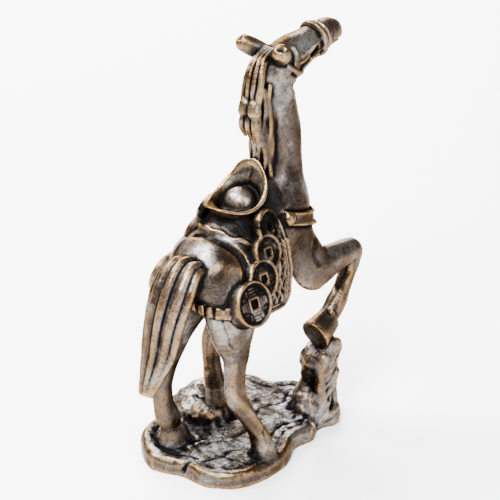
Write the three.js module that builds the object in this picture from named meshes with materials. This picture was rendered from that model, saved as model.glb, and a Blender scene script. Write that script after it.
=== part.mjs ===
// A cast brass statuette of a rearing horse on a rock plate, in millimetres.
// +X is the way the horse faces, +Y its left and +Z up. The origin lies on the
// underside of the plate, in the horse's median plane.
import * as THREE from 'three';

// Driving dimensions
const plateThickness = 3.0;
const plateEdgeRadius = 1.3;
const statuetteTop = 74.0;
const coinRimWidth = 0.75;
const coinRimHeight = 0.35;
const coinHoleShare = 0.25;
const ingotHalfLength = 5.9;
const ingotHalfWidth = 4.9;
const ingotEndRise = 3.3;
const ingotPitch = 0.47;
const tailStrands = 6;
const maneStrands = 3;

// Resolution of the solid
const cellSize = 0.5;
const triangleBudget = 9800;
const stationsPerSpan = 5;

// Each station is x, y, z, half depth in the median plane and half width across it.
const torsoStations = [
  [-15.0, 0, 36.6, 4.4, 4.8],
  [-11.0, 0, 36.6, 6.8, 6.0],
  [-5.0, 0, 38.0, 8.6, 6.5],
  [1.0, 0, 40.0, 9.2, 6.4],
  [4.0, 0, 40.0, 7.0, 5.4],
  [6.2, 0, 38.8, 3.6, 3.9],
];
const neckStations = [
  [4.6, 0, 44.6, 5.2, 4.5],
  [5.2, 0, 50.0, 4.3, 3.6],
  [5.6, 0, 56.0, 3.9, 3.0],
  [4.4, 0, 62.0, 3.7, 2.8],
  [4.4, 0, 66.5, 3.7, 2.8],
];
const headStations = [
  [3.6, 0, 67.7, 3.3, 2.9],
  [7.0, 0, 68.3, 3.9, 3.1],
  [11.0, 0, 69.0, 3.4, 2.7],
  [14.6, 0, 69.4, 2.8, 2.2],
  [17.4, 0, 69.3, 2.6, 2.1],
  [19.0, 0, 69.0, 1.8, 1.6],
];
const rightHindStations = [
  [-10.5, -3.4, 37.0, 6.4, 4.4],
  [-12.2, -4.6, 32.0, 5.8, 4.0],
  [-13.0, -5.2, 28.0, 4.3, 3.1],
  [-12.9, -5.8, 23.6, 2.5, 2.1],
  [-13.6, -6.3, 19.6, 1.9, 1.7],
  [-13.6, -6.6, 16.4, 2.0, 1.8],
  [-11.2, -6.9, 12.0, 1.6, 1.5],
  [-9.0, -7.0, 8.4, 1.5, 1.5],
  [-7.9, -7.0, 6.2, 1.8, 1.8],
  [-7.4, -7.0, 4.2, 1.9, 1.9],
];
const leftHindStations = [
  [-10.5, 3.4, 37.0, 6.4, 4.4],
  [-12.5, 4.4, 32.0, 5.7, 4.0],
  [-14.7, 5.1, 27.2, 3.7, 3.0],
  [-16.0, 5.5, 23.2, 2.5, 2.3],
  [-17.1, 6.0, 19.6, 2.1, 1.9],
  [-17.3, 6.4, 16.0, 1.7, 1.6],
  [-16.8, 6.8, 11.8, 2.0, 1.9],
  [-15.4, 7.0, 8.0, 1.7, 1.7],
  [-14.2, 7.0, 5.0, 2.1, 2.0],
];
const raisedForelegStations = [
  [5.2, -2.8, 38.8, 3.3, 2.9],
  [6.8, -4.0, 34.8, 3.7, 2.7],
  [8.8, -4.8, 31.4, 3.9, 2.5],
  [13.2, -5.2, 31.6, 2.8, 2.2],
  [16.8, -5.2, 31.7, 2.2, 2.1],
  [18.7, -5.1, 31.1, 2.1, 2.0],
  [18.2, -5.0, 28.2, 1.6, 1.6],
  [16.6, -5.0, 25.2, 1.5, 1.5],
  [14.8, -5.0, 22.7, 1.8, 1.8],
  [12.8, -5.0, 20.8, 1.7, 1.7],
];
const standingForelegStations = [
  [5.6, 3.0, 38.4, 3.5, 3.0],
  [4.6, 4.2, 33.0, 4.0, 2.8],
  [0.5, 4.8, 28.5, 3.0, 2.4],
  [-3.6, 5.3, 24.4, 2.1, 1.9],
  [-5.3, 5.8, 20.0, 1.9, 1.8],
  [-5.0, 6.3, 16.0, 1.6, 1.5],
  [-3.9, 6.8, 12.4, 1.8, 1.7],
  [-3.0, 7.0, 9.6, 1.9, 1.9],
];
const tailStations = [
  [-14.5, 0, 40.4, 2.2, 2.4],
  [-18.4, 0, 40.0, 2.4, 3.2],
  [-21.1, 0.3, 36.4, 2.6, 4.5],
  [-23.0, 0.9, 31.0, 2.3, 4.0],
  [-23.8, 1.5, 25.4, 1.9, 3.4],
  [-25.4, 2.6, 18.8, 0.9, 1.5],
];
const pillarStations = [
  [12.6, -2.6, 1.5, 4.2, 4.0],
  [12.2, -3.0, 5.0, 3.1, 3.0],
  [11.8, -3.8, 10.0, 2.9, 2.9],
  [11.4, -4.3, 14.6, 2.9, 2.8],
];

// The plate's outline, seen from above
const plateOutline = [
  [-16.3, 12.5], [-19.4, 7.4], [-17.9, 1.6], [-18.0, -3.4], [-14.8, -8.0],
  [-9.5, -9.6], [-3.7, -9.3], [0.6, -7.2], [2.6, -6.9], [6.0, -7.3],
  [9.8, -5.4], [11.4, -5.4], [15.4, -4.4], [17.6, 0.4], [17.6, 6.0],
  [14.6, 9.4], [14.0, 14.2], [8.0, 17.0], [1.0, 17.4], [-6.0, 16.4], [-12.3, 15.4],
];

// Rock lumps are x, y, z, then their half lengths along x, y and z.
const rockLumps = [
  [-1.0, 12.0, 3.0, 6.0, 4.6, 4.6],
  [-3.0, 8.0, 3.6, 4.0, 3.2, 3.6],
  [4.5, 12.8, 2.6, 4.6, 3.6, 3.4],
  [15.0, -1.6, 8.0, 1.9, 2.0, 7.4],
  [9.2, -3.0, 4.0, 2.4, 2.4, 3.6],
  [14.4, -2.4, 13.4, 1.8, 1.9, 4.2],
];

// Points along a smooth curve through the stations, with their half sizes
function spread(stations) {
  const places = new THREE.CatmullRomCurve3(
    stations.map(([x, y, z]) => new THREE.Vector3(x, y, z)), false, 'catmullrom', 0.5);
  const sizes = new THREE.CatmullRomCurve3(
    stations.map(([, , , depth, width]) => new THREE.Vector3(depth, width, 0)),
    false, 'catmullrom', 0.5);
  const count = (stations.length - 1) * stationsPerSpan;
  const result = [];
  for (let i = 0; i <= count; i += 1) {
    const place = places.getPoint(i / count);
    const size = sizes.getPoint(i / count);
    result.push([place.x, place.y, place.z, size.x, size.y]);
  }
  return result;
}

// A limb is a chain of short spans with an oval section that changes along it.
class Limb {
  constructor(stations) {
    const points = spread(stations);
    this.spans = [];
    this.low = [Infinity, Infinity, Infinity];
    this.high = [-Infinity, -Infinity, -Infinity];
    for (const [x, y, z, depth, width] of points) {
      const size = Math.max(depth, width);
      [x, y, z].forEach((value, axis) => {
        this.low[axis] = Math.min(this.low[axis], value - size);
        this.high[axis] = Math.max(this.high[axis], value + size);
      });
    }
    for (let i = 0; i + 1 < points.length; i += 1) {
      const start = points[i];
      const end = points[i + 1];
      const along = new THREE.Vector3(end[0] - start[0], end[1] - start[1], end[2] - start[2]);
      const length = along.length();
      along.divideScalar(length);
      const side = Math.abs(along.y) > 0.9 ? new THREE.Vector3(1, 0, 0) : new THREE.Vector3(0, 1, 0);
      const across = side.addScaledVector(along, -side.dot(along)).normalize();
      const deep = new THREE.Vector3().crossVectors(along, across);
      this.spans.push({ start, end, length, along, across, deep });
    }
  }

  distance(x, y, z) {
    const away = boxDistance(x, y, z, this.low, this.high);
    if (away > farAway) {
      return away;
    }
    let best = Infinity;
    for (const span of this.spans) {
      const { start, end, along, across, deep } = span;
      const dx = x - start[0];
      const dy = y - start[1];
      const dz = z - start[2];
      const reach = dx * along.x + dy * along.y + dz * along.z;
      const t = Math.min(1, Math.max(0, reach / span.length));
      const depth = start[3] + (end[3] - start[3]) * t;
      const width = start[4] + (end[4] - start[4]) * t;
      const past = reach - t * span.length;
      const d = ovalDistance(
        dx * deep.x + dy * deep.y + dz * deep.z,
        dx * across.x + dy * across.y + dz * across.z,
        past, depth, width, Math.min(depth, width));
      best = Math.min(best, d);
    }
    return best;
  }
}

function span3(x, y, z = 0) {
  return Math.sqrt(x * x + y * y + z * z);
}

// Beyond this distance a form no longer shapes its neighbours.
const farAway = 4.0;

function boxDistance(x, y, z, low, high) {
  const dx = Math.max(low[0] - x, 0, x - high[0]);
  const dy = Math.max(low[1] - y, 0, y - high[1]);
  const dz = Math.max(low[2] - z, 0, z - high[2]);
  return span3(dx, dy, dz);
}

// Signed distance to an oval with half sizes a, b and c, near enough for blending
function ovalDistance(x, y, z, a, b, c) {
  const scaled = span3(x / a, y / b, z / c);
  const slope = span3(x / (a * a), y / (b * b), z / (c * c));
  if (slope < 1e-6) {
    return -Math.min(a, b, c);
  }
  return scaled * (scaled - 1) / slope;
}

function blend(first, second, width) {
  const share = Math.max(width - Math.abs(first - second), 0) / width;
  return Math.min(first, second) - share * share * width / 4;
}

// Distance in the plane to a closed outline, negative inside it
class Outline {
  constructor(points, steps) {
    const curve = new THREE.CatmullRomCurve3(
      points.map(([x, y]) => new THREE.Vector3(x, y, 0)), true, 'catmullrom', 0.5);
    this.corners = curve.getPoints(points.length * steps);
  }

  distance(x, y) {
    let nearest = Infinity;
    let inside = false;
    for (let i = 0; i + 1 < this.corners.length; i += 1) {
      const a = this.corners[i];
      const b = this.corners[i + 1];
      const ex = b.x - a.x;
      const ey = b.y - a.y;
      const t = Math.min(1, Math.max(0,
        ((x - a.x) * ex + (y - a.y) * ey) / (ex * ex + ey * ey)));
      nearest = Math.min(nearest, span3(x - a.x - t * ex, y - a.y - t * ey));
      if ((a.y > y) !== (b.y > y) && x < a.x + (y - a.y) * ex / ey) {
        inside = !inside;
      }
    }
    return inside ? -nearest : nearest;
  }
}

const torso = new Limb(torsoStations);
const neck = new Limb(neckStations);
const head = new Limb(headStations);
const rightHind = new Limb(rightHindStations);
const leftHind = new Limb(leftHindStations);
const raisedForeleg = new Limb(raisedForelegStations);
const standingForeleg = new Limb(standingForelegStations);
const pillar = new Limb(pillarStations);
const outline = new Outline(plateOutline, 4);

// The tail is a core with strands winding slowly round it.
function makeStrand(stations, index, count, size, turn, offset) {
  const last = stations.length - 1;
  return new Limb(stations.map(([x, y, z, depth, width], i) => {
    const before = stations[Math.max(i - 1, 0)];
    const after = stations[Math.min(i + 1, last)];
    const run = span3(after[0] - before[0], after[2] - before[2]);
    const outX = -(after[2] - before[2]) / run;
    const outZ = (after[0] - before[0]) / run;
    const angle = 2 * Math.PI * index / count + turn * i / last;
    const out = offset * depth * Math.cos(angle);
    const side = offset * width * Math.sin(angle);
    const thick = size * Math.min(depth, width);
    return [x + out * outX, y + side, z + out * outZ, thick, thick];
  }));
}

const tailCore = new Limb(tailStations.map(
  ([x, y, z, depth, width]) => [x, y, z, depth * 0.72, width * 0.72]));
const tail = [];
for (let i = 0; i < tailStrands; i += 1) {
  tail.push(makeStrand(tailStations, i, tailStrands, 0.42, 1.1, 0.72));
}

// The mane: locks hang side by side from the poll, are bound by a band, flare
// below it, and a wavy fringe runs on down the crest.
const upperLock = [];
const lowerLock = [];
const fringe = [];
for (let i = 0; i < maneStrands; i += 1) {
  const side = i - (maneStrands - 1) / 2;
  upperLock.push(new Limb([
    [3.0, side * 1.2, 71.2, 1.0, 1.0],
    [-0.6, side * 1.5, 69.2, 1.25, 1.1],
    [-1.6, side * 1.5, 65.8, 1.3, 1.1],
    [-1.2, side * 0.9, 62.6, 1.0, 0.9],
  ]));
  lowerLock.push(new Limb([
    [-1.8, side * 0.9, 62.0, 0.9, 0.9],
    [-2.2, side * 1.3, 59.8, 1.15, 1.0],
    [-1.9, side * 1.5, 57.6, 0.7, 0.7],
  ]));
  fringe.push(new Limb([
    [1.6, side * 1.6, 60.0, 1.0, 0.9],
    [0.9, side * 1.9, 57.0, 1.0, 0.9],
    [1.2, side * 1.8, 54.0, 1.0, 0.9],
    [0.2, side * 1.6, 51.8, 0.8, 0.8],
  ]));
}
const maneBand = new Limb([[-2.2, -1.2, 62.4, 1.2, 1.2], [-2.2, 1.2, 62.4, 1.2, 1.2]]);

const ears = [-1, 1].map((side) => new Limb([
  [3.4, side * 1.8, 70.1, 1.4, 1.4],
  [2.1, side * 2.9, 70.9, 1.6, 1.6],
  [0.9, side * 3.8, 71.6, 1.3, 1.3],
]));

function mirrored(point, side) {
  return [point[0], point[1] * side, point[2]];
}

// Coins hang in a string down each flank, each lower one over the one above.
// Each coin is x, y and z of the middle of its outer face, its radius, its thickness
// and how far it is turned forward.
const coinStations = [
  [-4.9, 6.3, 44.2, 3.0, 1.2, 0.12],
  [-6.7, 7.6, 40.6, 3.1, 1.3, 0.02],
  [-9.1, 8.7, 37.1, 3.25, 1.5, -0.02],
  [-12.7, 9.7, 34.2, 3.85, 2.4, -0.05],
];
const coins = [];
for (const side of [-1, 1]) {
  for (const [x, y, z, radius, thickness, turn] of coinStations) {
    const facing = new THREE.Vector3(turn, 0.95 * side, 0.3).normalize();
    const right = new THREE.Vector3(1, 0, 0).addScaledVector(facing, -facing.x).normalize();
    const up = new THREE.Vector3().crossVectors(facing, right);
    coins.push({ place: mirrored([x, y, z], side), right, up, facing, radius, thickness });
  }
}

const coinReach = 9;

function coinDistance(coin, x, y, z) {
  const dx = x - coin.place[0];
  const dy = y - coin.place[1];
  const dz = z - coin.place[2];
  const u = dx * coin.right.x + dy * coin.right.y + dz * coin.right.z;
  const v = dx * coin.up.x + dy * coin.up.y + dz * coin.up.z;
  const w = dx * coin.facing.x + dy * coin.facing.y + dz * coin.facing.z;
  const radius = span3(u, v);
  const behind = -coin.thickness - w;
  const disc = Math.max(radius - coin.radius, w, behind);
  const rimMiddle = coin.radius - coinRimWidth / 2;
  const rim = Math.max(Math.abs(radius - rimMiddle) - coinRimWidth / 2,
    w - coinRimHeight, behind);
  const holeHalfWidth = coin.radius * coinHoleShare;
  const square = Math.max(Math.abs(u), Math.abs(v));
  const holeEdge = Math.max(Math.abs(square - holeHalfWidth - 0.3) - 0.3,
    w - coinRimHeight * 0.7, behind);
  const hole = Math.max(square - holeHalfWidth, -0.45 - w);
  return Math.max(Math.min(disc, rim, holeEdge), -hole);
}

// The ingot: a boat with both ends swept up, a low lip at its sides and a dome
// in the middle, tilted to the slope of the back
const ingotPlace = [-5.2, 0, 47.7];
const ingotBottom = -3.6;

function ingotDistance(x, y, z) {
  const dx = x - ingotPlace[0];
  const dz = z - ingotPlace[2];
  const u = dx * Math.cos(ingotPitch) + dz * Math.sin(ingotPitch);
  const w = -dx * Math.sin(ingotPitch) + dz * Math.cos(ingotPitch);
  const rise = ingotEndRise * Math.abs(u / ingotHalfLength) ** 2.2;
  const climb = Math.min(1, Math.max(0, (w - ingotBottom) / (rise - ingotBottom)));
  const flare = 0.62 + 0.38 * climb ** 1.4;
  const across = span3(u / (ingotHalfLength * flare), y / (ingotHalfWidth * flare));
  const wall = (across - 1) * ingotHalfWidth * 0.8;
  const inner = span3((u + 0.3) / (ingotHalfLength - 1.9), y / (ingotHalfWidth - 0.8));
  const sink = Math.min(1.5, Math.max(0, 1 - inner) * 5);
  const dome = span3(u + 0.3, y, w + 1.3) - 2.7;
  const bowl = w - (rise - sink);
  return Math.max(wall, Math.min(bowl * 0.8, dome), ingotBottom - w);
}

// A band follows the surface of a form where a slab crosses it.
function bandDistance(body, x, y, z, place, normal, halfWidth, height) {
  const offset = (x - place[0]) * normal[0] + (y - place[1]) * normal[1]
    + (z - place[2]) * normal[2];
  return Math.max(body - height, Math.abs(offset) - halfWidth);
}

// The plate with its rolled edge, the rocks on it and the pillar
function groundDistance(x, y, z) {
  if (z > 24) {
    return z - 20;
  }
  const edge = outline.distance(x, y) + plateEdgeRadius;
  const rise = z - (plateThickness - plateEdgeRadius);
  const rolled = span3(Math.max(edge, 0), Math.max(rise, 0))
    + Math.min(Math.max(edge, rise), 0) - plateEdgeRadius;
  let ground = rolled;
  for (const [cx, cy, cz, a, b, c] of rockLumps) {
    ground = blend(ground, ovalDistance(x - cx, y - cy, z - cz, a, b, c), 1.2);
  }
  ground = blend(ground, pillar.distance(x, y, z), 1.2);
  return Math.max(ground, -z);
}

// The hooves widen to their soles.
function hoofDistance(x, y, z, top, sole, topRadius, soleRadius, stretch) {
  const along = new THREE.Vector3(sole[0] - top[0], sole[1] - top[1], sole[2] - top[2]);
  const length = along.length();
  along.divideScalar(length);
  const dx = x - top[0];
  const dy = y - top[1];
  const dz = z - top[2];
  const reach = dx * along.x + dy * along.y + dz * along.z;
  const t = Math.min(1, Math.max(0, reach / length));
  const radius = topRadius + (soleRadius - topRadius) * t;
  const off = new THREE.Vector3(dx - reach * along.x, dy - reach * along.y, dz - reach * along.z);
  const round = span3(off.x / stretch, off.y, off.z / stretch) - radius;
  return Math.max(round, reach - length, -reach - topRadius * 0.6);
}

const hooves = [
  { top: [-7.4, -7.0, 5.0], sole: [-7.0, -7.0, 2.0], topRadius: 1.9, soleRadius: 2.4, stretch: 1.05 },
  { top: [-14.2, 7.0, 5.6], sole: [-13.4, 7.0, 2.0], topRadius: 2.1, soleRadius: 2.7, stretch: 1.1 },
  { top: [-3.0, 7.0, 9.6], sole: [-2.6, 7.0, 6.4], topRadius: 1.9, soleRadius: 2.3, stretch: 1.05 },
  { top: [12.6, -5.0, 20.3], sole: [8.3, -5.0, 19.3], topRadius: 1.9, soleRadius: 2.5, stretch: 1.15 },
];

function horseDistance(x, y, z) {
  const barrel = torso.distance(x, y, z);
  const skull = head.distance(x, y, z);
  let body = blend(barrel, neck.distance(x, y, z), 4.0);
  const haunch = Math.min(rightHind.distance(x, y, z), leftHind.distance(x, y, z));
  body = blend(body, haunch, 2.4);
  body = blend(body, raisedForeleg.distance(x, y, z), 2.0);
  body = blend(body, standingForeleg.distance(x, y, z), 2.0);
  let solid = blend(body, skull, 1.6);
  solid = blend(solid, tailCore.distance(x, y, z), 1.2);
  for (const strand of tail) {
    solid = blend(solid, strand.distance(x, y, z), 0.35);
  }
  for (const strand of [...upperLock, ...lowerLock, ...fringe, maneBand, ...ears]) {
    solid = blend(solid, strand.distance(x, y, z), 0.4);
  }
  for (const { top, sole, topRadius, soleRadius, stretch } of hooves) {
    solid = blend(solid, hoofDistance(x, y, z, top, sole, topRadius, soleRadius, stretch), 0.5);
  }
  for (const fold of haunchFolds) {
    solid = -blend(-solid, fold.distance(x, y, z), 0.6);
  }
  solid = blend(solid, saddleScroll.distance(x, y, z), 0.3);
  solid = Math.min(solid, clothDistance(body, x, y, z));
  solid = Math.min(solid, tackDistance(body, skull, x, y, z));
  solid = blend(solid, ingotDistance(x, y, z), 0.3);
  for (const coin of coins) {
    if (span3(x - coin.place[0], y - coin.place[1], z - coin.place[2]) < coinReach) {
      solid = Math.min(solid, coinDistance(coin, x, y, z));
    }
  }
  return solid;
}

// Breast collar, breeching and noseband, with a boss on each end of the collar
const collarBoss = [0.4, 6.1, 43.8];
const collarBossRadius = 1.2;
const collarEnd = -0.4;
const breechingEnd = -8.5;

function tackDistance(body, skull, x, y, z) {
  const collar = bandDistance(body, x, y, z, [3.9, 0, 42.7], [0.307, 0, 0.952], 1.1, 0.6);
  const breeching = bandDistance(body, x, y, z, [-16.2, 0, 32.4], [0.1, 0, 0.99], 1.0, 0.5);
  const noseband = bandDistance(skull, x, y, z, [15.4, 0, 69.4], [0.98, 0, -0.1], 0.8, 0.45);
  const [bossX, bossY, bossZ] = collarBoss;
  const boss = span3(x - bossX, Math.abs(y) - bossY, z - bossZ) - collarBossRadius;
  const strap = Math.min(Math.max(collar, collarEnd - x), Math.max(breeching, x - breechingEnd));
  return Math.min(strap, noseband, boss);
}

// The saddle cloth lies over the back and hangs down both flanks as a stiff flap
// with rounded lower corners.
const clothFore = -0.4;
const clothAft = -8.8;
const clothHem = 29.4;
const clothCorner = 2.6;
const clothTop = 45.6;

function clothDistance(body, x, y, z) {
  const fore = x - clothFore + 0.16 * Math.abs(z - 36);
  const aft = clothAft - x;
  const side = Math.max(fore, aft);
  const hem = clothHem - z;
  const past = span3(Math.max(side + clothCorner, 0), Math.max(hem + clothCorner, 0));
  const edge = past + Math.min(Math.max(side, hem) + clothCorner, 0) - clothCorner;
  const flapMiddle = 7.0 + 0.06 * (38 - z);
  const flap = Math.max(Math.abs(Math.abs(y) - flapMiddle) - 0.75, z - 41);
  return Math.max(Math.min(body - 0.6, flap), edge, z - clothTop);
}

// The scroll along the rear edge of the saddle, and the fold between it and the haunch
const saddleScroll = new Limb([
  [-8.6, 5.7, 41.9, 0.6, 0.6],
  [-10.8, 3.2, 43.5, 0.6, 0.6],
  [-11.5, 0, 44.1, 0.6, 0.6],
  [-10.8, -3.2, 43.5, 0.6, 0.6],
  [-8.6, -5.7, 41.9, 0.6, 0.6],
]);
const haunchFolds = [-1, 1].map((side) => new Limb([
  [-13.2, 0, 43.6, 0.7, 0.8],
  [-12.6, side * 2.6, 43.2, 0.7, 0.8],
  [-11.6, side * 5.4, 41.4, 0.7, 0.8],
  [-11.9, side * 7.4, 38.6, 0.7, 0.8],
  [-12.8, side * 8.2, 36.4, 0.6, 0.7],
]));

function field(x, y, z) {
  const ground = groundDistance(x, y, z);
  if (z < 1) {
    return ground;
  }
  return Math.max(blend(horseDistance(x, y, z), ground, 0.5), -z);
}

// Values of the field on a grid of cubes
const gridLow = [-28, -12, -1];
const gridHigh = [23, 19, statuetteTop + 1];
const gridCount = gridLow.map((low, axis) => Math.ceil((gridHigh[axis] - low) / cellSize) + 1);

// The field is sampled block by block. A block whose middle lies far from the
// surface takes the middle's value as a whole.
const blockCells = 8;
const blockReach = blockCells * cellSize * 1.4;

function sampleField() {
  const [nx, ny, nz] = gridCount;
  const values = new Float32Array(nx * ny * nz);
  for (let k = 0; k < nz; k += blockCells) {
    for (let j = 0; j < ny; j += blockCells) {
      for (let i = 0; i < nx; i += blockCells) {
        sampleBlock(values, [i, j, k]);
      }
    }
  }
  return values;
}

function sampleBlock(values, start) {
  const [nx, ny] = gridCount;
  const end = start.map((first, axis) => Math.min(first + blockCells, gridCount[axis]));
  const place = (axis, step) => gridLow[axis] + step * cellSize;
  const middle = start.map((first, axis) => place(axis, first + (blockCells - 1) / 2));
  const central = field(...middle);
  const whole = Math.abs(central) > blockReach;
  for (let k = start[2]; k < end[2]; k += 1) {
    for (let j = start[1]; j < end[1]; j += 1) {
      for (let i = start[0]; i < end[0]; i += 1) {
        const value = whole ? central : field(place(0, i), place(1, j), place(2, k));
        values[i + nx * (j + ny * k)] = value === 0 ? 1e-6 : value;
      }
    }
  }
}

// Each cube is cut into six tetrahedra round one long diagonal. A face of the
// surface joins the crossings on the edges of a tetrahedron.
const cubeCorners = [
  [0, 0, 0], [1, 0, 0], [0, 1, 0], [1, 1, 0], [0, 0, 1], [1, 0, 1], [0, 1, 1], [1, 1, 1],
];
const tetrahedra = [
  [0, 1, 3, 7], [0, 3, 2, 7], [0, 2, 6, 7], [0, 6, 4, 7], [0, 4, 5, 7], [0, 5, 1, 7],
];

function traceSurface(values) {
  const [nx, ny] = gridCount;
  const nz = gridCount[2];
  const steps = cubeCorners.map(([i, j, k]) => i + nx * (j + ny * k));
  const points = [];
  const faces = [];
  const crossings = new Map();

  function place(node) {
    const i = node % nx;
    const j = Math.floor(node / nx) % ny;
    const k = Math.floor(node / (nx * ny));
    return [gridLow[0] + i * cellSize, gridLow[1] + j * cellSize, gridLow[2] + k * cellSize];
  }

  function crossing(first, second) {
    const a = Math.min(first, second);
    const b = Math.max(first, second);
    const key = a * 8 + steps.indexOf(b - a);
    let found = crossings.get(key);
    if (found === undefined) {
      const share = values[a] / (values[a] - values[b]);
      const t = Math.min(0.97, Math.max(0.03, share));
      const start = place(a);
      const end = place(b);
      found = points.length;
      points.push(start.map((value, axis) => value + (end[axis] - value) * t));
      crossings.set(key, found);
    }
    return found;
  }

  for (let k = 0; k + 1 < nz; k += 1) {
    for (let j = 0; j + 1 < ny; j += 1) {
      for (let i = 0; i + 1 < nx; i += 1) {
        const origin = i + nx * (j + ny * k);
        const full = steps.filter((step) => values[origin + step] < 0).length;
        if (full === 0 || full === steps.length) {
          continue;
        }
        for (const corners of tetrahedra) {
          const nodes = corners.map((corner) => origin + steps[corner]);
          traceTetrahedron(nodes);
        }
      }
    }
  }
  return { points, faces };

  function traceTetrahedron(nodes) {
    const inner = nodes.filter((node) => values[node] < 0);
    const outer = nodes.filter((node) => values[node] >= 0);
    if (inner.length === 0 || outer.length === 0) {
      return;
    }
    const away = direction(inner, outer);
    if (inner.length === 2) {
      const loop = [
        crossing(inner[0], outer[0]), crossing(inner[0], outer[1]),
        crossing(inner[1], outer[1]), crossing(inner[1], outer[0]),
      ];
      addFace(loop[0], loop[1], loop[2], away);
      addFace(loop[0], loop[2], loop[3], away);
      return;
    }
    const single = inner.length === 1 ? inner[0] : outer[0];
    const others = inner.length === 1 ? outer : inner;
    const loop = others.map((node) => crossing(single, node));
    addFace(loop[0], loop[1], loop[2], away);
  }

  function direction(inner, outer) {
    const middle = (nodes) => [0, 1, 2].map((axis) =>
      nodes.reduce((sum, node) => sum + place(node)[axis], 0) / nodes.length);
    const from = middle(inner);
    const to = middle(outer);
    return to.map((value, axis) => value - from[axis]);
  }

  function addFace(a, b, c, away) {
    const normal = faceNormal(points[a], points[b], points[c]);
    const facing = normal[0] * away[0] + normal[1] * away[1] + normal[2] * away[2];
    faces.push(facing >= 0 ? [a, b, c] : [a, c, b]);
  }
}

function faceNormal(a, b, c) {
  const ux = b[0] - a[0];
  const uy = b[1] - a[1];
  const uz = b[2] - a[2];
  const vx = c[0] - a[0];
  const vy = c[1] - a[1];
  const vz = c[2] - a[2];
  return [uy * vz - uz * vy, uz * vx - ux * vz, ux * vy - uy * vx];
}

// The largest connected skin is the outside of the casting, which is solid within.
function outerSkin({ points, faces }) {
  const parent = points.map((point, index) => index);
  function root(index) {
    let top = index;
    while (parent[top] !== top) {
      parent[top] = parent[parent[top]];
      top = parent[top];
    }
    return top;
  }
  for (const [a, b, c] of faces) {
    parent[root(b)] = root(a);
    parent[root(c)] = root(a);
  }
  const sizes = new Map();
  faces.forEach(([a]) => sizes.set(root(a), (sizes.get(root(a)) || 0) + 1));
  const [largest] = [...sizes.entries()].sort((first, second) => second[1] - first[1])[0];
  return { points, faces: faces.filter(([a]) => root(a) === largest) };
}

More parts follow.
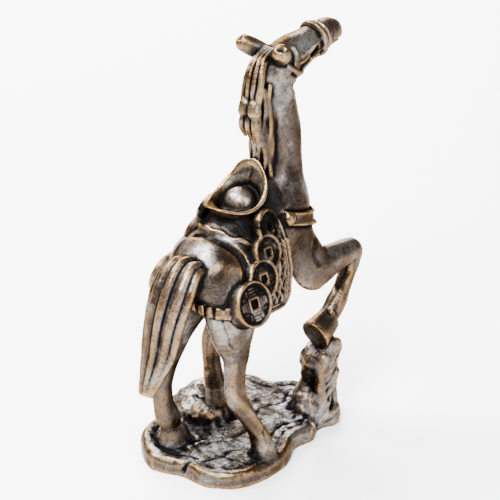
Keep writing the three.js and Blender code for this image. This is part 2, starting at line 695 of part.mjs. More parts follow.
// Edges are collapsed in the order of the error that each one adds, until the
// budget is met. The error is the squared distance to the planes of the faces.
class Simplifier {
  constructor({ points, faces }) {
    this.points = points;
    this.faces = faces.map((face) => face.slice());
    this.alive = faces.map(() => true);
    this.around = points.map(() => new Set());
    this.planes = points.map(() => new Float64Array(10));
    this.stamps = new Int32Array(points.length);
    this.heap = [];
    this.left = faces.length;
    faces.forEach((face, index) => {
      face.forEach((vertex) => this.around[vertex].add(index));
      this.addPlane(face);
    });
    this.faces.forEach((face) => {
      for (let side = 0; side < 3; side += 1) {
        const a = face[side];
        const b = face[(side + 1) % 3];
        if (a < b) {
          this.push(a, b);
        }
      }
    });
  }

  addPlane([a, b, c]) {
    const [nx, ny, nz] = faceNormal(this.points[a], this.points[b], this.points[c]);
    const size = span3(nx, ny, nz);
    if (size < 1e-12) {
      return;
    }
    const n = [nx / size, ny / size, nz / size];
    const p = this.points[a];
    const offset = -(n[0] * p[0] + n[1] * p[1] + n[2] * p[2]);
    const row = [n[0], n[1], n[2], offset];
    for (const vertex of [a, b, c]) {
      let slot = 0;
      for (let i = 0; i < 4; i += 1) {
        for (let j = i; j < 4; j += 1) {
          this.planes[vertex][slot] += row[i] * row[j] * size;
          slot += 1;
        }
      }
    }
  }

  // The best place for the vertex that replaces a and b, with its error
  target(a, b) {
    const q = this.planes[a].map((value, slot) => value + this.planes[b][slot]);
    const p = this.points[a];
    const r = this.points[b];
    const middle = [(p[0] + r[0]) / 2, (p[1] + r[1]) / 2, (p[2] + r[2]) / 2];
    const length = span3(p[0] - r[0], p[1] - r[1], p[2] - r[2]);
    const keep = 1e-3 * (q[0] + q[4] + q[7]);
    const m = [q[0] + keep, q[1], q[2], q[4] + keep, q[5], q[7] + keep];
    const right = [
      -q[3] + keep * middle[0], -q[6] + keep * middle[1], -q[8] + keep * middle[2],
    ];
    let best = solveSymmetric(m, right);
    const shift = best && span3(
      best[0] - middle[0], best[1] - middle[1], best[2] - middle[2]);
    if (!best || shift > 1.5 * length) {
      best = middle;
    }
    const [x, y, z] = best;
    const error = q[0] * x * x + 2 * q[1] * x * y + 2 * q[2] * x * z + 2 * q[3] * x
      + q[4] * y * y + 2 * q[5] * y * z + 2 * q[6] * y
      + q[7] * z * z + 2 * q[8] * z + q[9];
    return { place: best, error: Math.max(error, 0) + 1e-7 * length };
  }

  push(a, b) {
    const { place, error } = this.target(a, b);
    const entry = { a, b, place, error, stampA: this.stamps[a], stampB: this.stamps[b] };
    const { heap } = this;
    heap.push(entry);
    let child = heap.length - 1;
    while (child > 0) {
      const parent = (child - 1) >> 1;
      if (heap[parent].error <= entry.error) {
        break;
      }
      heap[child] = heap[parent];
      child = parent;
    }
    heap[child] = entry;
  }

  pop() {
    const { heap } = this;
    const top = heap[0];
    const last = heap.pop();
    if (heap.length > 0) {
      let parent = 0;
      for (;;) {
        let child = 2 * parent + 1;
        if (child >= heap.length) {
          break;
        }
        if (child + 1 < heap.length && heap[child + 1].error < heap[child].error) {
          child += 1;
        }
        if (heap[child].error >= last.error) {
          break;
        }
        heap[parent] = heap[child];
        parent = child;
      }
      heap[parent] = last;
    }
    return top;
  }

  neighbours(vertex) {
    const found = new Set();
    this.around[vertex].forEach((index) => {
      this.faces[index].forEach((other) => found.add(other));
    });
    found.delete(vertex);
    return found;
  }

  // A collapse keeps the surface closed when the two ends share just the two
  // vertices that face their edge.
  allowed(a, b, place) {
    const nearA = this.neighbours(a);
    const nearB = this.neighbours(b);
    let shared = 0;
    nearA.forEach((vertex) => {
      if (nearB.has(vertex)) {
        shared += 1;
      }
    });
    if (shared !== 2 || nearA.size + nearB.size < 8) {
      return false;
    }
    for (const vertex of [a, b]) {
      for (const index of this.around[vertex]) {
        const face = this.faces[index];
        if (face.includes(a) && face.includes(b)) {
          continue;
        }
        const before = face.map((corner) => this.points[corner]);
        const after = face.map((corner) => (corner === vertex ? place : this.points[corner]));
        const n = faceNormal(...before);
        const m = faceNormal(...after);
        const dot = n[0] * m[0] + n[1] * m[1] + n[2] * m[2];
        const size = span3(m[0], m[1], m[2]);
        if (dot < 0.25 * span3(n[0], n[1], n[2]) * size || size < 0.004) {
          return false;
        }
      }
    }
    return true;
  }

  collapse({ a, b, place }) {
    this.points[a] = place;
    this.planes[a] = this.planes[a].map((value, slot) => value + this.planes[b][slot]);
    for (const index of [...this.around[b]]) {
      const face = this.faces[index];
      if (face.includes(a)) {
        this.alive[index] = false;
        this.left -= 1;
        face.forEach((vertex) => this.around[vertex].delete(index));
      } else {
        face[face.indexOf(b)] = a;
        this.around[a].add(index);
      }
    }
    this.around[b] = new Set();
    this.stamps[b] += 1;
    this.stamps[a] += 1;
    this.neighbours(a).forEach((vertex) => this.push(a, vertex));
  }

  run(budget) {
    while (this.left > budget && this.heap.length > 0) {
      const entry = this.pop();
      const fresh = entry.stampA === this.stamps[entry.a] && entry.stampB === this.stamps[entry.b];
      if (fresh && this.allowed(entry.a, entry.b, entry.place)) {
        this.collapse(entry);
      }
    }
    return { points: this.points, faces: this.faces.filter((face, index) => this.alive[index]) };
  }
}

// Solves three equations whose matrix is symmetric, by its cofactors
function solveSymmetric([a, b, c, d, e, f], [x, y, z]) {
  const first = d * f - e * e;
  const second = c * e - b * f;
  const third = b * e - c * d;
  const size = a * first + b * second + c * third;
  if (Math.abs(size) < 1e-14) {
    return null;
  }
  const fourth = a * f - c * c;
  const fifth = b * c - a * e;
  const sixth = a * d - b * b;
  return [
    (first * x + second * y + third * z) / size,
    (second * x + fourth * y + fifth * z) / size,
    (third * x + fifth * y + sixth * z) / size,
  ];
}

function makeGeometry({ points, faces }) {
  const positions = [];
  for (const face of faces) {
    for (const vertex of face) {
      const [x, y, z] = points[vertex];
      positions.push(x, y, Math.abs(z) < 0.02 ? 0 : z);
    }
  }
  const geometry = new THREE.BufferGeometry();
  geometry.setAttribute('position', new THREE.Float32BufferAttribute(positions, 3));
  geometry.computeVertexNormals();
  return geometry;
}

const surface = outerSkin(traceSurface(sampleField()));
const solid = new Simplifier(surface).run(triangleBudget);
const agedBrass = new THREE.MeshStandardMaterial({
  color: 0x7d705b, roughness: 0.42, metalness: 0.9, flatShading: true,
});
const statuette = new THREE.Mesh(makeGeometry(solid), agedBrass);
statuette.name = 'horse_statuette';

const group = new THREE.Group();
group.add(statuette);

export default group;
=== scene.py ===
"""A cast brass statuette of a rearing horse on a rock plate.

The casting is one closed form. Its surface is the zero level of a field, in millimetres, that
blends limbs, locks, coins, tack and rock, and it is traced on a fine grid and thinned.
"""

import math

import bpy
import numpy as np
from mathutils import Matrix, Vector


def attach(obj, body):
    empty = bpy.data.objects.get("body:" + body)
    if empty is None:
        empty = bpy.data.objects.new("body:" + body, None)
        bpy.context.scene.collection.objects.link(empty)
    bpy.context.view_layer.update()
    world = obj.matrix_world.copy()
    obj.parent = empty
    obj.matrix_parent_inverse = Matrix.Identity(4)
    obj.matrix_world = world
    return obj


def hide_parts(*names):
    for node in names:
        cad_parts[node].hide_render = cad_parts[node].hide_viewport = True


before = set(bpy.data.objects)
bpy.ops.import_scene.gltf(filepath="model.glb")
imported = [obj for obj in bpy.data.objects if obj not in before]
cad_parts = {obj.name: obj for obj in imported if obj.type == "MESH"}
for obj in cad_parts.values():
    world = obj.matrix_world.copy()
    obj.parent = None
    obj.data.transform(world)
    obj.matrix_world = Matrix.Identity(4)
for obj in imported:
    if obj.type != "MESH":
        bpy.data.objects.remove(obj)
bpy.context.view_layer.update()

MM = 0.001
CELL = 0.2
BLOCK = 8
GROUP = 4
TRIANGLES = 190000
FAR = 4.0

# Driving dimensions in millimetres
PLATE_THICKNESS = 3.0
PLATE_EDGE_RADIUS = 1.3
COIN_RIM_WIDTH = 0.4
COIN_RIM_HEIGHT = 0.28
COIN_HOLE_SHARE = 0.2
INGOT_HALF_LENGTH = 5.9
INGOT_HALF_WIDTH = 4.9
INGOT_END_RISE = 3.3
INGOT_BOTTOM = -3.6
INGOT_PLACE = (-5.2, 0.0, 47.7)
INGOT_PITCH = 0.47
INGOT_BOX = ((-12.0, -5.8, 43.0), (1.6, 5.8, 55.0))
DOME_RADIUS = 2.7
DOME_AHEAD = 0.1
DOME_DROP = 1.1
WELL_DEPTH = 2.2
WELL_AHEAD = 0.3
COLLAR_PLACE = (3.9, 0, 42.7)
COLLAR_NORMAL = (0.307, 0, 0.952)
COLLAR_HALF_WIDTH = 1.1
COLLAR_BOSS = (0.4, 6.1, 43.8)
BREECHING_PLACE = (-16.2, 0, 33.2)
BREECHING_NORMAL = (0.1, 0, 0.99)
BREECHING_HALF_WIDTH = 0.95
BREECHING_BOSS = (-17.0, 6.2, 33.0)
BLOCK_PITCH = 1.5
BOSS_RADIUS = 1.2
NOSEBAND_PLACE = (14.9, 69.8)
CLOTH_FORE = -0.4
CLOTH_AFT = -8.8
CLOTH_HEM = 29.4
CLOTH_CORNER = 2.6
CLOTH_TOP = 45.6
NET_PITCH = 1.4
NET_SLANT = 0.55
NET_BEND = 0.3

# Each station is x, y, z, half depth in the median plane and half width across it.
TORSO = [
    (-15, 0, 36.6, 4.4, 4.8),
    (-11, 0, 36.6, 6.8, 6),
    (-5, 0, 38, 8.6, 6.5),
    (1, 0, 40, 9.2, 6.4),
    (4, 0, 40, 7, 5.4),
    (6.2, 0, 38.8, 3.6, 3.9),
]
NECK = [
    (4.6, 0, 44.6, 5.2, 4.5),
    (5.2, 0, 50, 4.3, 3.6),
    (5.6, 0, 56, 3.9, 3),
    (4.4, 0, 62, 3.7, 2.8),
    (4.4, 0, 66.5, 3.7, 2.8),
]
HEAD = [
    (3.6, 0, 67.7, 3.3, 2.9),
    (7, 0, 68.4, 3.8, 3),
    (11, 0, 69.3, 3.1, 2.6),
    (14.6, 0, 70, 2.4, 2.1),
    (17, 0, 70.2, 2.5, 2.2),
    (18.7, 0, 70, 2.1, 1.9),
]
RIGHT_HIND = [
    (-10.5, -3.4, 37, 6.4, 4.4),
    (-12.2, -4.6, 32, 5.8, 4),
    (-13, -5.2, 28, 4.3, 3.1),
    (-12.9, -5.8, 23.6, 2.5, 2.1),
    (-13.6, -6.3, 19.6, 1.9, 1.7),
    (-13.6, -6.6, 16.4, 2, 1.8),
    (-11.2, -6.9, 12, 1.6, 1.5),
    (-9, -7, 8.4, 1.5, 1.5),
    (-7.9, -7, 6.2, 1.8, 1.8),
    (-7.4, -7, 4.2, 1.9, 1.9),
]
LEFT_HIND = [
    (-10.5, 3.4, 37, 6.4, 4.4),
    (-12.5, 4.4, 32, 5.7, 4),
    (-14.7, 5.1, 27.2, 3.7, 3),
    (-16, 5.5, 23.2, 2.5, 2.3),
    (-17.1, 6, 19.6, 2.1, 1.9),
    (-17.3, 6.4, 16, 1.7, 1.6),
    (-16.8, 6.8, 12.2, 1.8, 1.7),
    (-15.6, 7, 9, 2.1, 2),
    (-14.6, 7, 6.2, 1.5, 1.5),
]
RAISED_FORELEG = [
    (5.2, -2.8, 38.8, 3.3, 2.9),
    (6.8, -4, 34.8, 3.7, 2.7),
    (8.8, -4.8, 31.4, 3.9, 2.5),
    (13.2, -5.2, 31.6, 2.8, 2.2),
    (16.8, -5.2, 31.7, 2.2, 2.1),
    (18.7, -5.1, 31.1, 2.1, 2),
    (18.2, -5, 28.2, 1.6, 1.6),
    (16.6, -5, 25.2, 1.5, 1.5),
    (14.8, -5, 22.7, 1.8, 1.8),
    (12.8, -5, 20.8, 1.7, 1.7),
]
STANDING_FORELEG = [
    (5.6, 3, 38.4, 3.5, 3),
    (4.6, 4.2, 33, 4, 2.8),
    (0.5, 4.8, 28.5, 3, 2.4),
    (-3.6, 5.3, 24.4, 2.1, 1.9),
    (-5.3, 5.8, 20, 1.9, 1.8),
    (-5, 6.3, 16, 1.6, 1.5),
    (-3.9, 6.8, 12.4, 1.8, 1.7),
    (-3, 7, 9.6, 1.9, 1.9),
]
TAIL = [
    (-16.4, 0, 38.8, 2.2, 3.4),
    (-18.6, 0, 39.2, 2.6, 3.8),
    (-20.8, 0.3, 36.2, 2.6, 4.5),
    (-22.5, 0.9, 31, 2.3, 4.1),
    (-23.5, 1.5, 25.4, 1.9, 3.5),
    (-25.4, 2.6, 18.8, 0.9, 1.5),
]
PILLAR = [
    (12.6, -2.6, 1.5, 4.5, 4.2),
    (12, -3, 5, 3.5, 3.3),
    (11.9, -3.8, 9, 2.7, 2.8),
    (11.4, -4.2, 12.2, 3, 3.1),
    (12.8, -4.6, 14.8, 2.4, 2.5),
]

# The plate's outline, seen from above
PLATE_OUTLINE = [
    (-16.3, 12.5), (-19.4, 7.4), (-17.9, 1.6), (-18, -3.4), (-14.8, -8),
    (-9.5, -9.6), (-3.7, -9.3), (0.6, -7.2), (2.6, -6.9), (6, -7.3),
    (9.8, -5.4), (11.4, -5.4), (15.4, -4.4), (17.6, 0.4), (17.6, 6),
    (14.6, 9.4), (14, 14.2), (8, 17), (1, 17.4), (-6, 16.4), (-12.3, 15.4),
]

# Rock lumps are x, y, z, then their half lengths along x, y and z.
ROCK_LUMPS = [
    (-1, 12, 3, 6, 4.6, 4.6),
    (-3, 8, 3.6, 4, 3.2, 3.6),
    (4.5, 12.8, 2.6, 4.6, 3.6, 3.4),
    (15, -1.6, 8, 1.9, 2, 7.4),
    (9.2, -3, 4, 2.4, 2.4, 3.6),
    (14.4, -2.4, 13.4, 1.8, 1.9, 4.2),
]


def unit(vector):
    vector = np.asarray(vector, float)
    return vector / np.linalg.norm(vector)


def spread(stations, steps):
    """Points along a smooth curve through the stations, with their half sizes."""
    rows = np.array(stations, float)
    rows = np.vstack([2 * rows[0] - rows[1], rows, 2 * rows[-1] - rows[-2]])
    result = []
    for before, start, end, after in zip(rows, rows[1:], rows[2:], rows[3:]):
        for t in np.arange(steps) / steps:
            out = (end - before) / 2
            into = (after - start) / 2
            bend = 3 * (end - start) - 2 * out - into
            twist = 2 * (start - end) + out + into
            result.append(start + t * (out + t * (bend + t * twist)))
    result.append(rows[-2])
    return np.array(result)


def oval(x, y, z, a, b, c):
    """Signed distance to an oval with half sizes a, b and c, near enough for blending."""
    x = x / a
    y = y / b
    z = z / c
    scaled = np.sqrt(x * x + y * y + z * z)
    x = x / a
    y = y / b
    z = z / c
    slope = np.sqrt(x * x + y * y + z * z)
    return scaled * (scaled - 1) / np.maximum(slope, 1e-4)


def blend(first, second, width):
    """The lower of two fields, rounded where they meet. A missing field leaves the other."""
    if first is None or second is None:
        return second if first is None else first
    share = np.maximum(width - np.abs(first - second), 0) / width
    return np.minimum(first, second) - share * share * width / 4


def lower(first, second):
    if first is None or second is None:
        return second if first is None else first
    return np.minimum(first, second)


def ramp(value, low, high):
    """A smooth step from 0 at low to 1 at high."""
    share = np.clip((value - low) / (high - low), 0, 1)
    return share * share * (3 - 2 * share)


class Block:
    """Sample points in a box, with its corners for leaving out what lies far away."""

    def __init__(self, points, low=None, high=None):
        self.points = np.asarray(points, np.float32)
        self.x, self.y, self.z = np.ascontiguousarray(self.points.T)
        self.low = self.points.min(0) if low is None else low
        self.high = self.points.max(0) if high is None else high

    def near(self, low, high, margin):
        for i in range(3):
            if self.low[i] - margin > high[i] or self.high[i] + margin < low[i]:
                return False
        return True

    def chosen(self, lows, highs, margin):
        gap = np.maximum(lows - self.high, self.low - highs)
        return np.flatnonzero((gap < margin).all(1))


class Limb:
    """A chain of short spans with an oval section that changes along it."""

    def __init__(self, stations, steps=5):
        points = spread(stations, steps)
        start, end = points[:-1], points[1:]
        along = end[:, :3] - start[:, :3]
        length = np.linalg.norm(along, axis=1)
        along = along / length[:, None]
        side = np.where(np.abs(along[:, 1:2]) > 0.9, [[1.0, 0, 0]], [[0, 1.0, 0]])
        across = side - (side * along).sum(1)[:, None] * along
        across /= np.linalg.norm(across, axis=1)[:, None]
        axes = np.stack([np.cross(along, across), across, along])
        self.turn = axes.transpose(0, 2, 1).astype(np.float32)
        self.shift = (axes * start[:, :3]).sum(2).astype(np.float32)
        self.length = length.astype(np.float32)
        self.sizes = start[:, 3:].T.astype(np.float32)
        self.growth = (end - start)[:, 3:].T.astype(np.float32)
        radius = np.maximum(start[:, 3:], end[:, 3:]).max(1)[:, None]
        self.lows = np.minimum(start, end)[:, :3] - radius
        self.highs = np.maximum(start, end)[:, :3] + radius
        self.low = self.lows.min(0)
        self.high = self.highs.max(0)

    def __call__(self, block, margin):
        """The distance at each point, or None where the limb is further than the margin."""
        if not block.near(self.low, self.high, margin):
            return None
        chosen = block.chosen(self.lows, self.highs, margin)
        if len(chosen) == 0:
            return None
        u, v, w = [block.points @ self.turn[i][:, chosen] - self.shift[i][chosen] for i in range(3)]
        length = self.length[chosen]
        share = np.clip(w / length, 0, 1)
        w -= share * length
        depth = self.sizes[0][chosen] + share * self.growth[0][chosen]
        width = self.sizes[1][chosen] + share * self.growth[1][chosen]
        return oval(u, v, w, depth, width, np.minimum(depth, width)).min(1)


def outline_corners():
    closed = [PLATE_OUTLINE[-1]] + PLATE_OUTLINE + PLATE_OUTLINE[:2]
    return spread(closed, 4)[4:-4].astype(np.float32)


CORNERS = outline_corners()


def outline_distance(block):
    """Distance in the plane to the plate's outline, negative inside it."""
    start, end = CORNERS[:-1], CORNERS[1:]
    edge = end - start
    du = block.x[:, None] - start[:, 0]
    dv = block.y[:, None] - start[:, 1]
    share = np.clip((du * edge[:, 0] + dv * edge[:, 1]) / (edge * edge).sum(1), 0, 1)
    gap_u = du - share * edge[:, 0]
    gap_v = dv - share * edge[:, 1]
    nearest = np.sqrt((gap_u * gap_u + gap_v * gap_v).min(1))
    above = block.y[:, None]
    crosses = (start[:, 1] > above) != (end[:, 1] > above)
    rise = np.where(np.abs(edge[:, 1]) < 1e-6, 1e-6, edge[:, 1])
    meets = du < dv * edge[:, 0] / rise
    inside = (crosses & meets).sum(1) % 2 == 1
    return np.where(inside, -nearest, nearest)


def make_waves(size, seed):
    """Directions and phases of smooth lumps about one size apart, the same on every run."""
    draw = np.random.default_rng(seed)
    waves = []
    for _ in range(5):
        direction = unit(draw.normal(size=3)) * 2 * math.pi / size
        waves.append((*direction, draw.uniform(0, 2 * math.pi)))
    return np.array(waves, np.float32)


def ripple(block, waves):
    turned = block.points @ waves[:, :3].T + waves[:, 3]
    return np.sin(turned).sum(1) / 3


PLATE_WAVES = make_waves(4.5, 3)
PLATE_FINE_WAVES = make_waves(1.9, 4)
PILLAR_WAVES = make_waves(3.4, 5)
PILLAR_FINE_WAVES = make_waves(1.5, 6)
CRUST_WAVES = make_waves(0.85, 8)
SKIN_WAVES = make_waves(3.0, 7)


class Lines:
    """Ridges and grooves along bent lines that are settled on a surface."""

    def __init__(self):
        self.starts = []
        self.ends = []
        self.heights = []
        self.widths = []

    def add(self, height, width, line, both=False, smooth=3):
        """A ridge, or a groove where the height is negative, on one side or on both."""
        points = spread(line, smooth) if smooth else np.array(line, float)
        for flip in (1, -1) if both else (1,):
            turned = points * [1, flip, 1]
            self.starts.extend(turned[:-1])
            self.ends.extend(turned[1:])
            self.heights.extend([height] * (len(points) - 1))
            self.widths.extend([width] * (len(points) - 1))

    def settle(self, field):
        """Moves every point onto the surface of the field, along its slope."""
        points = np.array(self.starts + self.ends)
        for _ in range(4):
            value = field(points)
            slope = np.stack([field(points + step) - field(points - step)
                              for step in np.eye(3) * 0.1], 1) / 0.2
            slope /= np.maximum((slope * slope).sum(1), 0.2)[:, None]
            points = points - np.clip(value, -1.2, 1.2)[:, None] * slope
        half = len(points) // 2
        self.start = points[:half].astype(np.float32)
        self.edge = (points[half:] - points[:half]).astype(np.float32)
        self.span = np.maximum((self.edge * self.edge).sum(1), 1e-6)
        self.height = np.array(self.heights, np.float32)
        self.width = np.array(self.widths, np.float32)
        self.lows = np.minimum(points[:half], points[half:]) - self.width[:, None]
        self.highs = np.maximum(points[:half], points[half:]) + self.width[:, None]

    def __call__(self, block):
        chosen = block.chosen(self.lows, self.highs, 0.0)
        if len(chosen) == 0:
            return 0.0
        start, edge = self.start[chosen], self.edge[chosen]
        along = (block.points @ edge.T - (start * edge).sum(1)) / self.span[chosen]
        along = np.clip(along, 0, 1)
        square = 0.0
        for i, value in enumerate((block.x, block.y, block.z)):
            gap = value[:, None] - start[:, i] - along * edge[:, i]
            square = square + gap * gap
        share = np.maximum(1 - np.sqrt(square) / self.width[chosen], 0)
        profile = self.height[chosen] * share * share * (3 - 2 * share)
        return np.maximum(profile.max(1), 0) + np.minimum(profile.min(1), 0)


def strand(stations, share, size, lift):
    """One lock that runs along a broad sheet of hair, at a share of its half width."""
    rows = np.array(stations, float)
    result = []
    for i, (x, y, z, depth, width) in enumerate(rows):
        before, after = rows[max(i - 1, 0)], rows[min(i + 1, len(rows) - 1)]
        run = math.hypot(after[0] - before[0], after[2] - before[2])
        out = (-(after[2] - before[2]) / run, (after[0] - before[0]) / run)
        rise = lift * depth * math.sqrt(max(0.0, 1 - share * share))
        radius = max(size * width, 0.42)
        result.append((x - rise * out[0], y + 0.8 * share * width, z - rise * out[1],
                       radius, radius))
    return Limb(result)


def wavy(start, end, sway, turns, phase, steps=14):
    """A line from start to end that sways sideways in y."""
    start, end = np.array(start), np.array(end)
    line = []
    for t in np.linspace(0, 1, steps):
        place = start + t * (end - start)
        place[1] += sway * math.sin(2 * math.pi * turns * t + phase)
        line.append(tuple(place))
    return line


# Each coin is x, y and z of the middle of its outer face, its radius, its thickness
# and how far it is turned forward.
COIN_STATIONS = [
    (-4.9, 6.3, 44.2, 3.0, 1.2, 0.12),
    (-6.7, 7.6, 40.6, 3.1, 1.3, 0.02),
    (-9.1, 8.7, 37.1, 3.25, 1.5, -0.02),
    (-12.7, 9.7, 34.2, 3.85, 2.4, -0.05),
]


def coin_string(side):
    """The coins of one flank: each lower one lies over the one above."""
    coins = []
    for x, y, z, radius, thickness, turned in COIN_STATIONS:
        normal = unit((turned, 0.95 * side, 0.3))
        right = unit(np.array([1.0, 0, 0]) - normal[0] * normal)
        turn = np.stack([right, np.cross(normal, right), normal], 1).astype(np.float32)
        coins.append((np.array([x, y * side, z]), turn, radius, thickness))
    return coins


COINS = coin_string(-1) + coin_string(1)


def coins_distance(block):
    """The strings of coins, where each coin is cut away under the next lower one."""
    found = None
    for i, coin in enumerate(COINS):
        value = coin_distance(coin, block)
        if value is None:
            continue
        if (i + 1) % len(COIN_STATIONS):
            place, turn, outer, thickness = COINS[i + 1]
            u, v, w = ((block.points - place.astype(np.float32)) @ turn).T
            value = np.maximum(value, np.minimum(outer - np.hypot(u, v), thickness + w))
        found = lower(found, value)
    return found


def coin_distance(coin, block):
    """A disc with a raised rim, a square hole with its own rim, and rows of strokes."""
    place, turn, outer, thickness = coin
    reach = outer + 0.5
    if not block.near(place - reach, place + reach, 0.0):
        return None
    u, v, w = ((block.points - place.astype(np.float32)) @ turn).T
    radius = np.hypot(u, v)
    over = np.maximum(w, 0)
    behind = -thickness - w
    disc = np.maximum(radius - outer, np.maximum(w, behind))
    rim = np.hypot(radius - outer + COIN_RIM_WIDTH / 2, over) - COIN_RIM_HEIGHT
    square = np.maximum(np.abs(u), np.abs(v))
    hole_half = outer * COIN_HOLE_SHARE
    hole_rim = np.hypot(square - hole_half - 0.2, over) - 0.24
    hole = np.maximum(square - hole_half, -0.6 - w)
    strokes = np.full_like(u, FAR)
    scale = outer / 3.85
    for turned in range(4):
        a, b = (u, v) if turned % 2 == 0 else (v, u)
        b = b if turned < 2 else -b
        for row in range(3):
            height = (1.55 + 0.55 * row) * scale
            half_length = (0.75 - 0.12 * row) * scale
            bar = np.hypot(np.maximum(np.abs(a) - half_length, 0), b - height)
            strokes = np.minimum(strokes, np.hypot(bar, over) - 0.19 * scale)
        post = np.hypot(np.abs(a) - 1.25 * scale, np.maximum(np.abs(b - 2.0 * scale) - 0.35, 0))
        strokes = np.minimum(strokes, np.hypot(post, over) - 0.17 * scale)
    solid = np.minimum(np.minimum(rim, hole_rim), strokes)
    solid = np.minimum(disc, np.maximum(solid, behind))
    return np.maximum(solid, -hole)


def ingot_frame(block):
    """Places along the ingot and up from it, and how high its lip stands there."""
    dx = block.x - INGOT_PLACE[0]
    dz = block.z - INGOT_PLACE[2]
    u = dx * math.cos(INGOT_PITCH) + dz * math.sin(INGOT_PITCH)
    w = -dx * math.sin(INGOT_PITCH) + dz * math.cos(INGOT_PITCH)
    rise = INGOT_END_RISE * (np.abs(u) / INGOT_HALF_LENGTH) ** 2.2
    return u, w, rise


def dome_reach(u, y, w):
    """Distance from the middle of the ingot's dome."""
    return np.sqrt((u + DOME_AHEAD) ** 2 + y * y + (w + DOME_DROP) ** 2)


def ingot_distance(block):
    """A boat with both ends swept up, a rounded lip, a crease in each end and a dome."""
    if not block.near(*INGOT_BOX, 0.5):
        return None
    y = block.y
    u, w, rise = ingot_frame(block)
    climb = np.clip((w - INGOT_BOTTOM) / (rise - INGOT_BOTTOM), 0, 1)
    flare = 0.62 + 0.38 * climb ** 1.4
    across = np.hypot(u / (INGOT_HALF_LENGTH * flare), y / (INGOT_HALF_WIDTH * flare))
    wall = (across - 1) * INGOT_HALF_WIDTH * 0.8
    inner = np.hypot((u + WELL_AHEAD) / (INGOT_HALF_LENGTH - 1.9), y / (INGOT_HALF_WIDTH - 0.5))
    sink = ramp(1 - inner, 0, 0.3) * WELL_DEPTH
    crease_depth = 0.7 * np.clip(1 - np.abs(y) / 0.35, 0, 1) * ramp(np.abs(u), 2.6, 3.2)
    bowl = (w - (rise - sink - crease_depth)) * 0.7
    dome = dome_reach(u, y, w) - DOME_RADIUS
    body = np.maximum(np.maximum(wall, bowl), INGOT_BOTTOM - w)
    lip = np.hypot(wall + 0.25, (w - rise) * 0.8) - 0.32
    return np.minimum(blend(body, dome, 0.25), lip)


def band(body, block, place, normal, half_width, height, edge=0.0):
    """A strap that follows the surface of a form where a slab crosses it."""
    normal = unit(normal)
    offset = (block.x - place[0]) * normal[0] + (block.z - place[2]) * normal[2]
    thick = height
    if edge:
        thick = height + edge * np.clip((np.abs(offset) - half_width + 0.45) / 0.3, 0, 1)
    return np.maximum(body - thick, np.abs(offset) - half_width)


def straps(body, block):
    """The breast collar, and the breeching with its row of blocks."""
    tack = None
    if block.near((0, -8, 38), (12, 8, 47), 0.5):
        collar = band(body, block, COLLAR_PLACE, COLLAR_NORMAL, COLLAR_HALF_WIDTH, 0.5, 0.2)
        tack = lower(tack, np.maximum(collar, -0.4 - block.x))
    if block.near((-20, -10, 30), (-8, 10, 37), 0.5):
        step = (0.52 * block.x + 0.855 * np.abs(block.y)) / BLOCK_PITCH
        height = 0.15 + 0.6 * ramp(np.abs(step - np.round(step)), 0.1, 0.2)
        breeching = band(body, block, BREECHING_PLACE, BREECHING_NORMAL, BREECHING_HALF_WIDTH, height)
        tack = lower(tack, np.maximum(breeching, block.x + 8.5))
    return tack


def tack_distance(body, skull, block):
    """Breast collar, breeching, bosses and the two rings of the noseband."""
    tack = None if body is None else straps(body, block)
    for x, y, z in (COLLAR_BOSS, BREECHING_BOSS):
        if block.near((x - 2, -y - 2, z - 2), (x + 2, y + 2, z + 2), 0.0):
            square = (block.x - x) ** 2 + (np.abs(block.y) - y) ** 2 + (block.z - z) ** 2
            tack = lower(tack, np.sqrt(square) - BOSS_RADIUS)
    if skull is not None:
        along = (block.x - NOSEBAND_PLACE[0]) * 0.98 + (block.z - NOSEBAND_PLACE[1]) * 0.2
        for place, width, height in ((-0.7, 0.62, 0.85), (0.75, 0.4, 0.4)):
            ring = np.hypot(np.maximum(skull - height + width, 0), along - place) - width
            tack = lower(tack, ring)
    return tack


def cloth_parts(body, block):
    """The distance to the cloth's edge in the side view, the ridges' height and the sheet."""
    fore = block.x - CLOTH_FORE + 0.16 * np.abs(block.z - 36)
    side = np.maximum(fore, CLOTH_AFT - block.x)
    hem = CLOTH_HEM - block.z
    past = np.hypot(np.maximum(side + CLOTH_CORNER, 0), np.maximum(hem + CLOTH_CORNER, 0))
    edge = past + np.minimum(np.maximum(side, hem) + CLOTH_CORNER, 0) - CLOTH_CORNER
    bend = NET_BEND * np.sin(2.3 * block.z)
    first = (block.x + NET_SLANT * (block.z - 30) + bend) / NET_PITCH
    second = (block.x - NET_SLANT * (block.z - 30) + bend) / NET_PITCH
    net = np.minimum(np.abs(first - np.round(first)), np.abs(second - np.round(second)))
    ridge = 0.42 * np.clip(1 - net / 0.2, 0, 1)
    border = np.clip(1 - np.abs(edge + 0.4) / 0.4, 0, 1)
    border = border + np.clip(1 - np.abs(edge + 1.3) / 0.35, 0, 1)
    ridge = np.where(edge > -1.6, 0.45 * border, ridge)
    ridge = ridge * np.where(block.x < -5.0, 1 - ramp(block.z, 38.5, 40), 1)
    middle = 7.0 + 0.06 * (38 - block.z)
    flap = np.maximum(np.abs(np.abs(block.y) - middle) - 0.5, block.z - 41)
    return edge, ridge, np.minimum(body - 0.35, flap)


def cloth_distance(body, block):
    """The saddle cloth: a stiff flap on each flank with a net of ridges in a double border."""
    if body is None or not block.near((-9.5, -9, 28.5), (0.5, 9, 46), 0.5):
        return None
    edge, ridge, sheet = cloth_parts(body, block)
    sheet = sheet - ridge
    return np.maximum(np.maximum(sheet, edge), block.z - CLOTH_TOP)


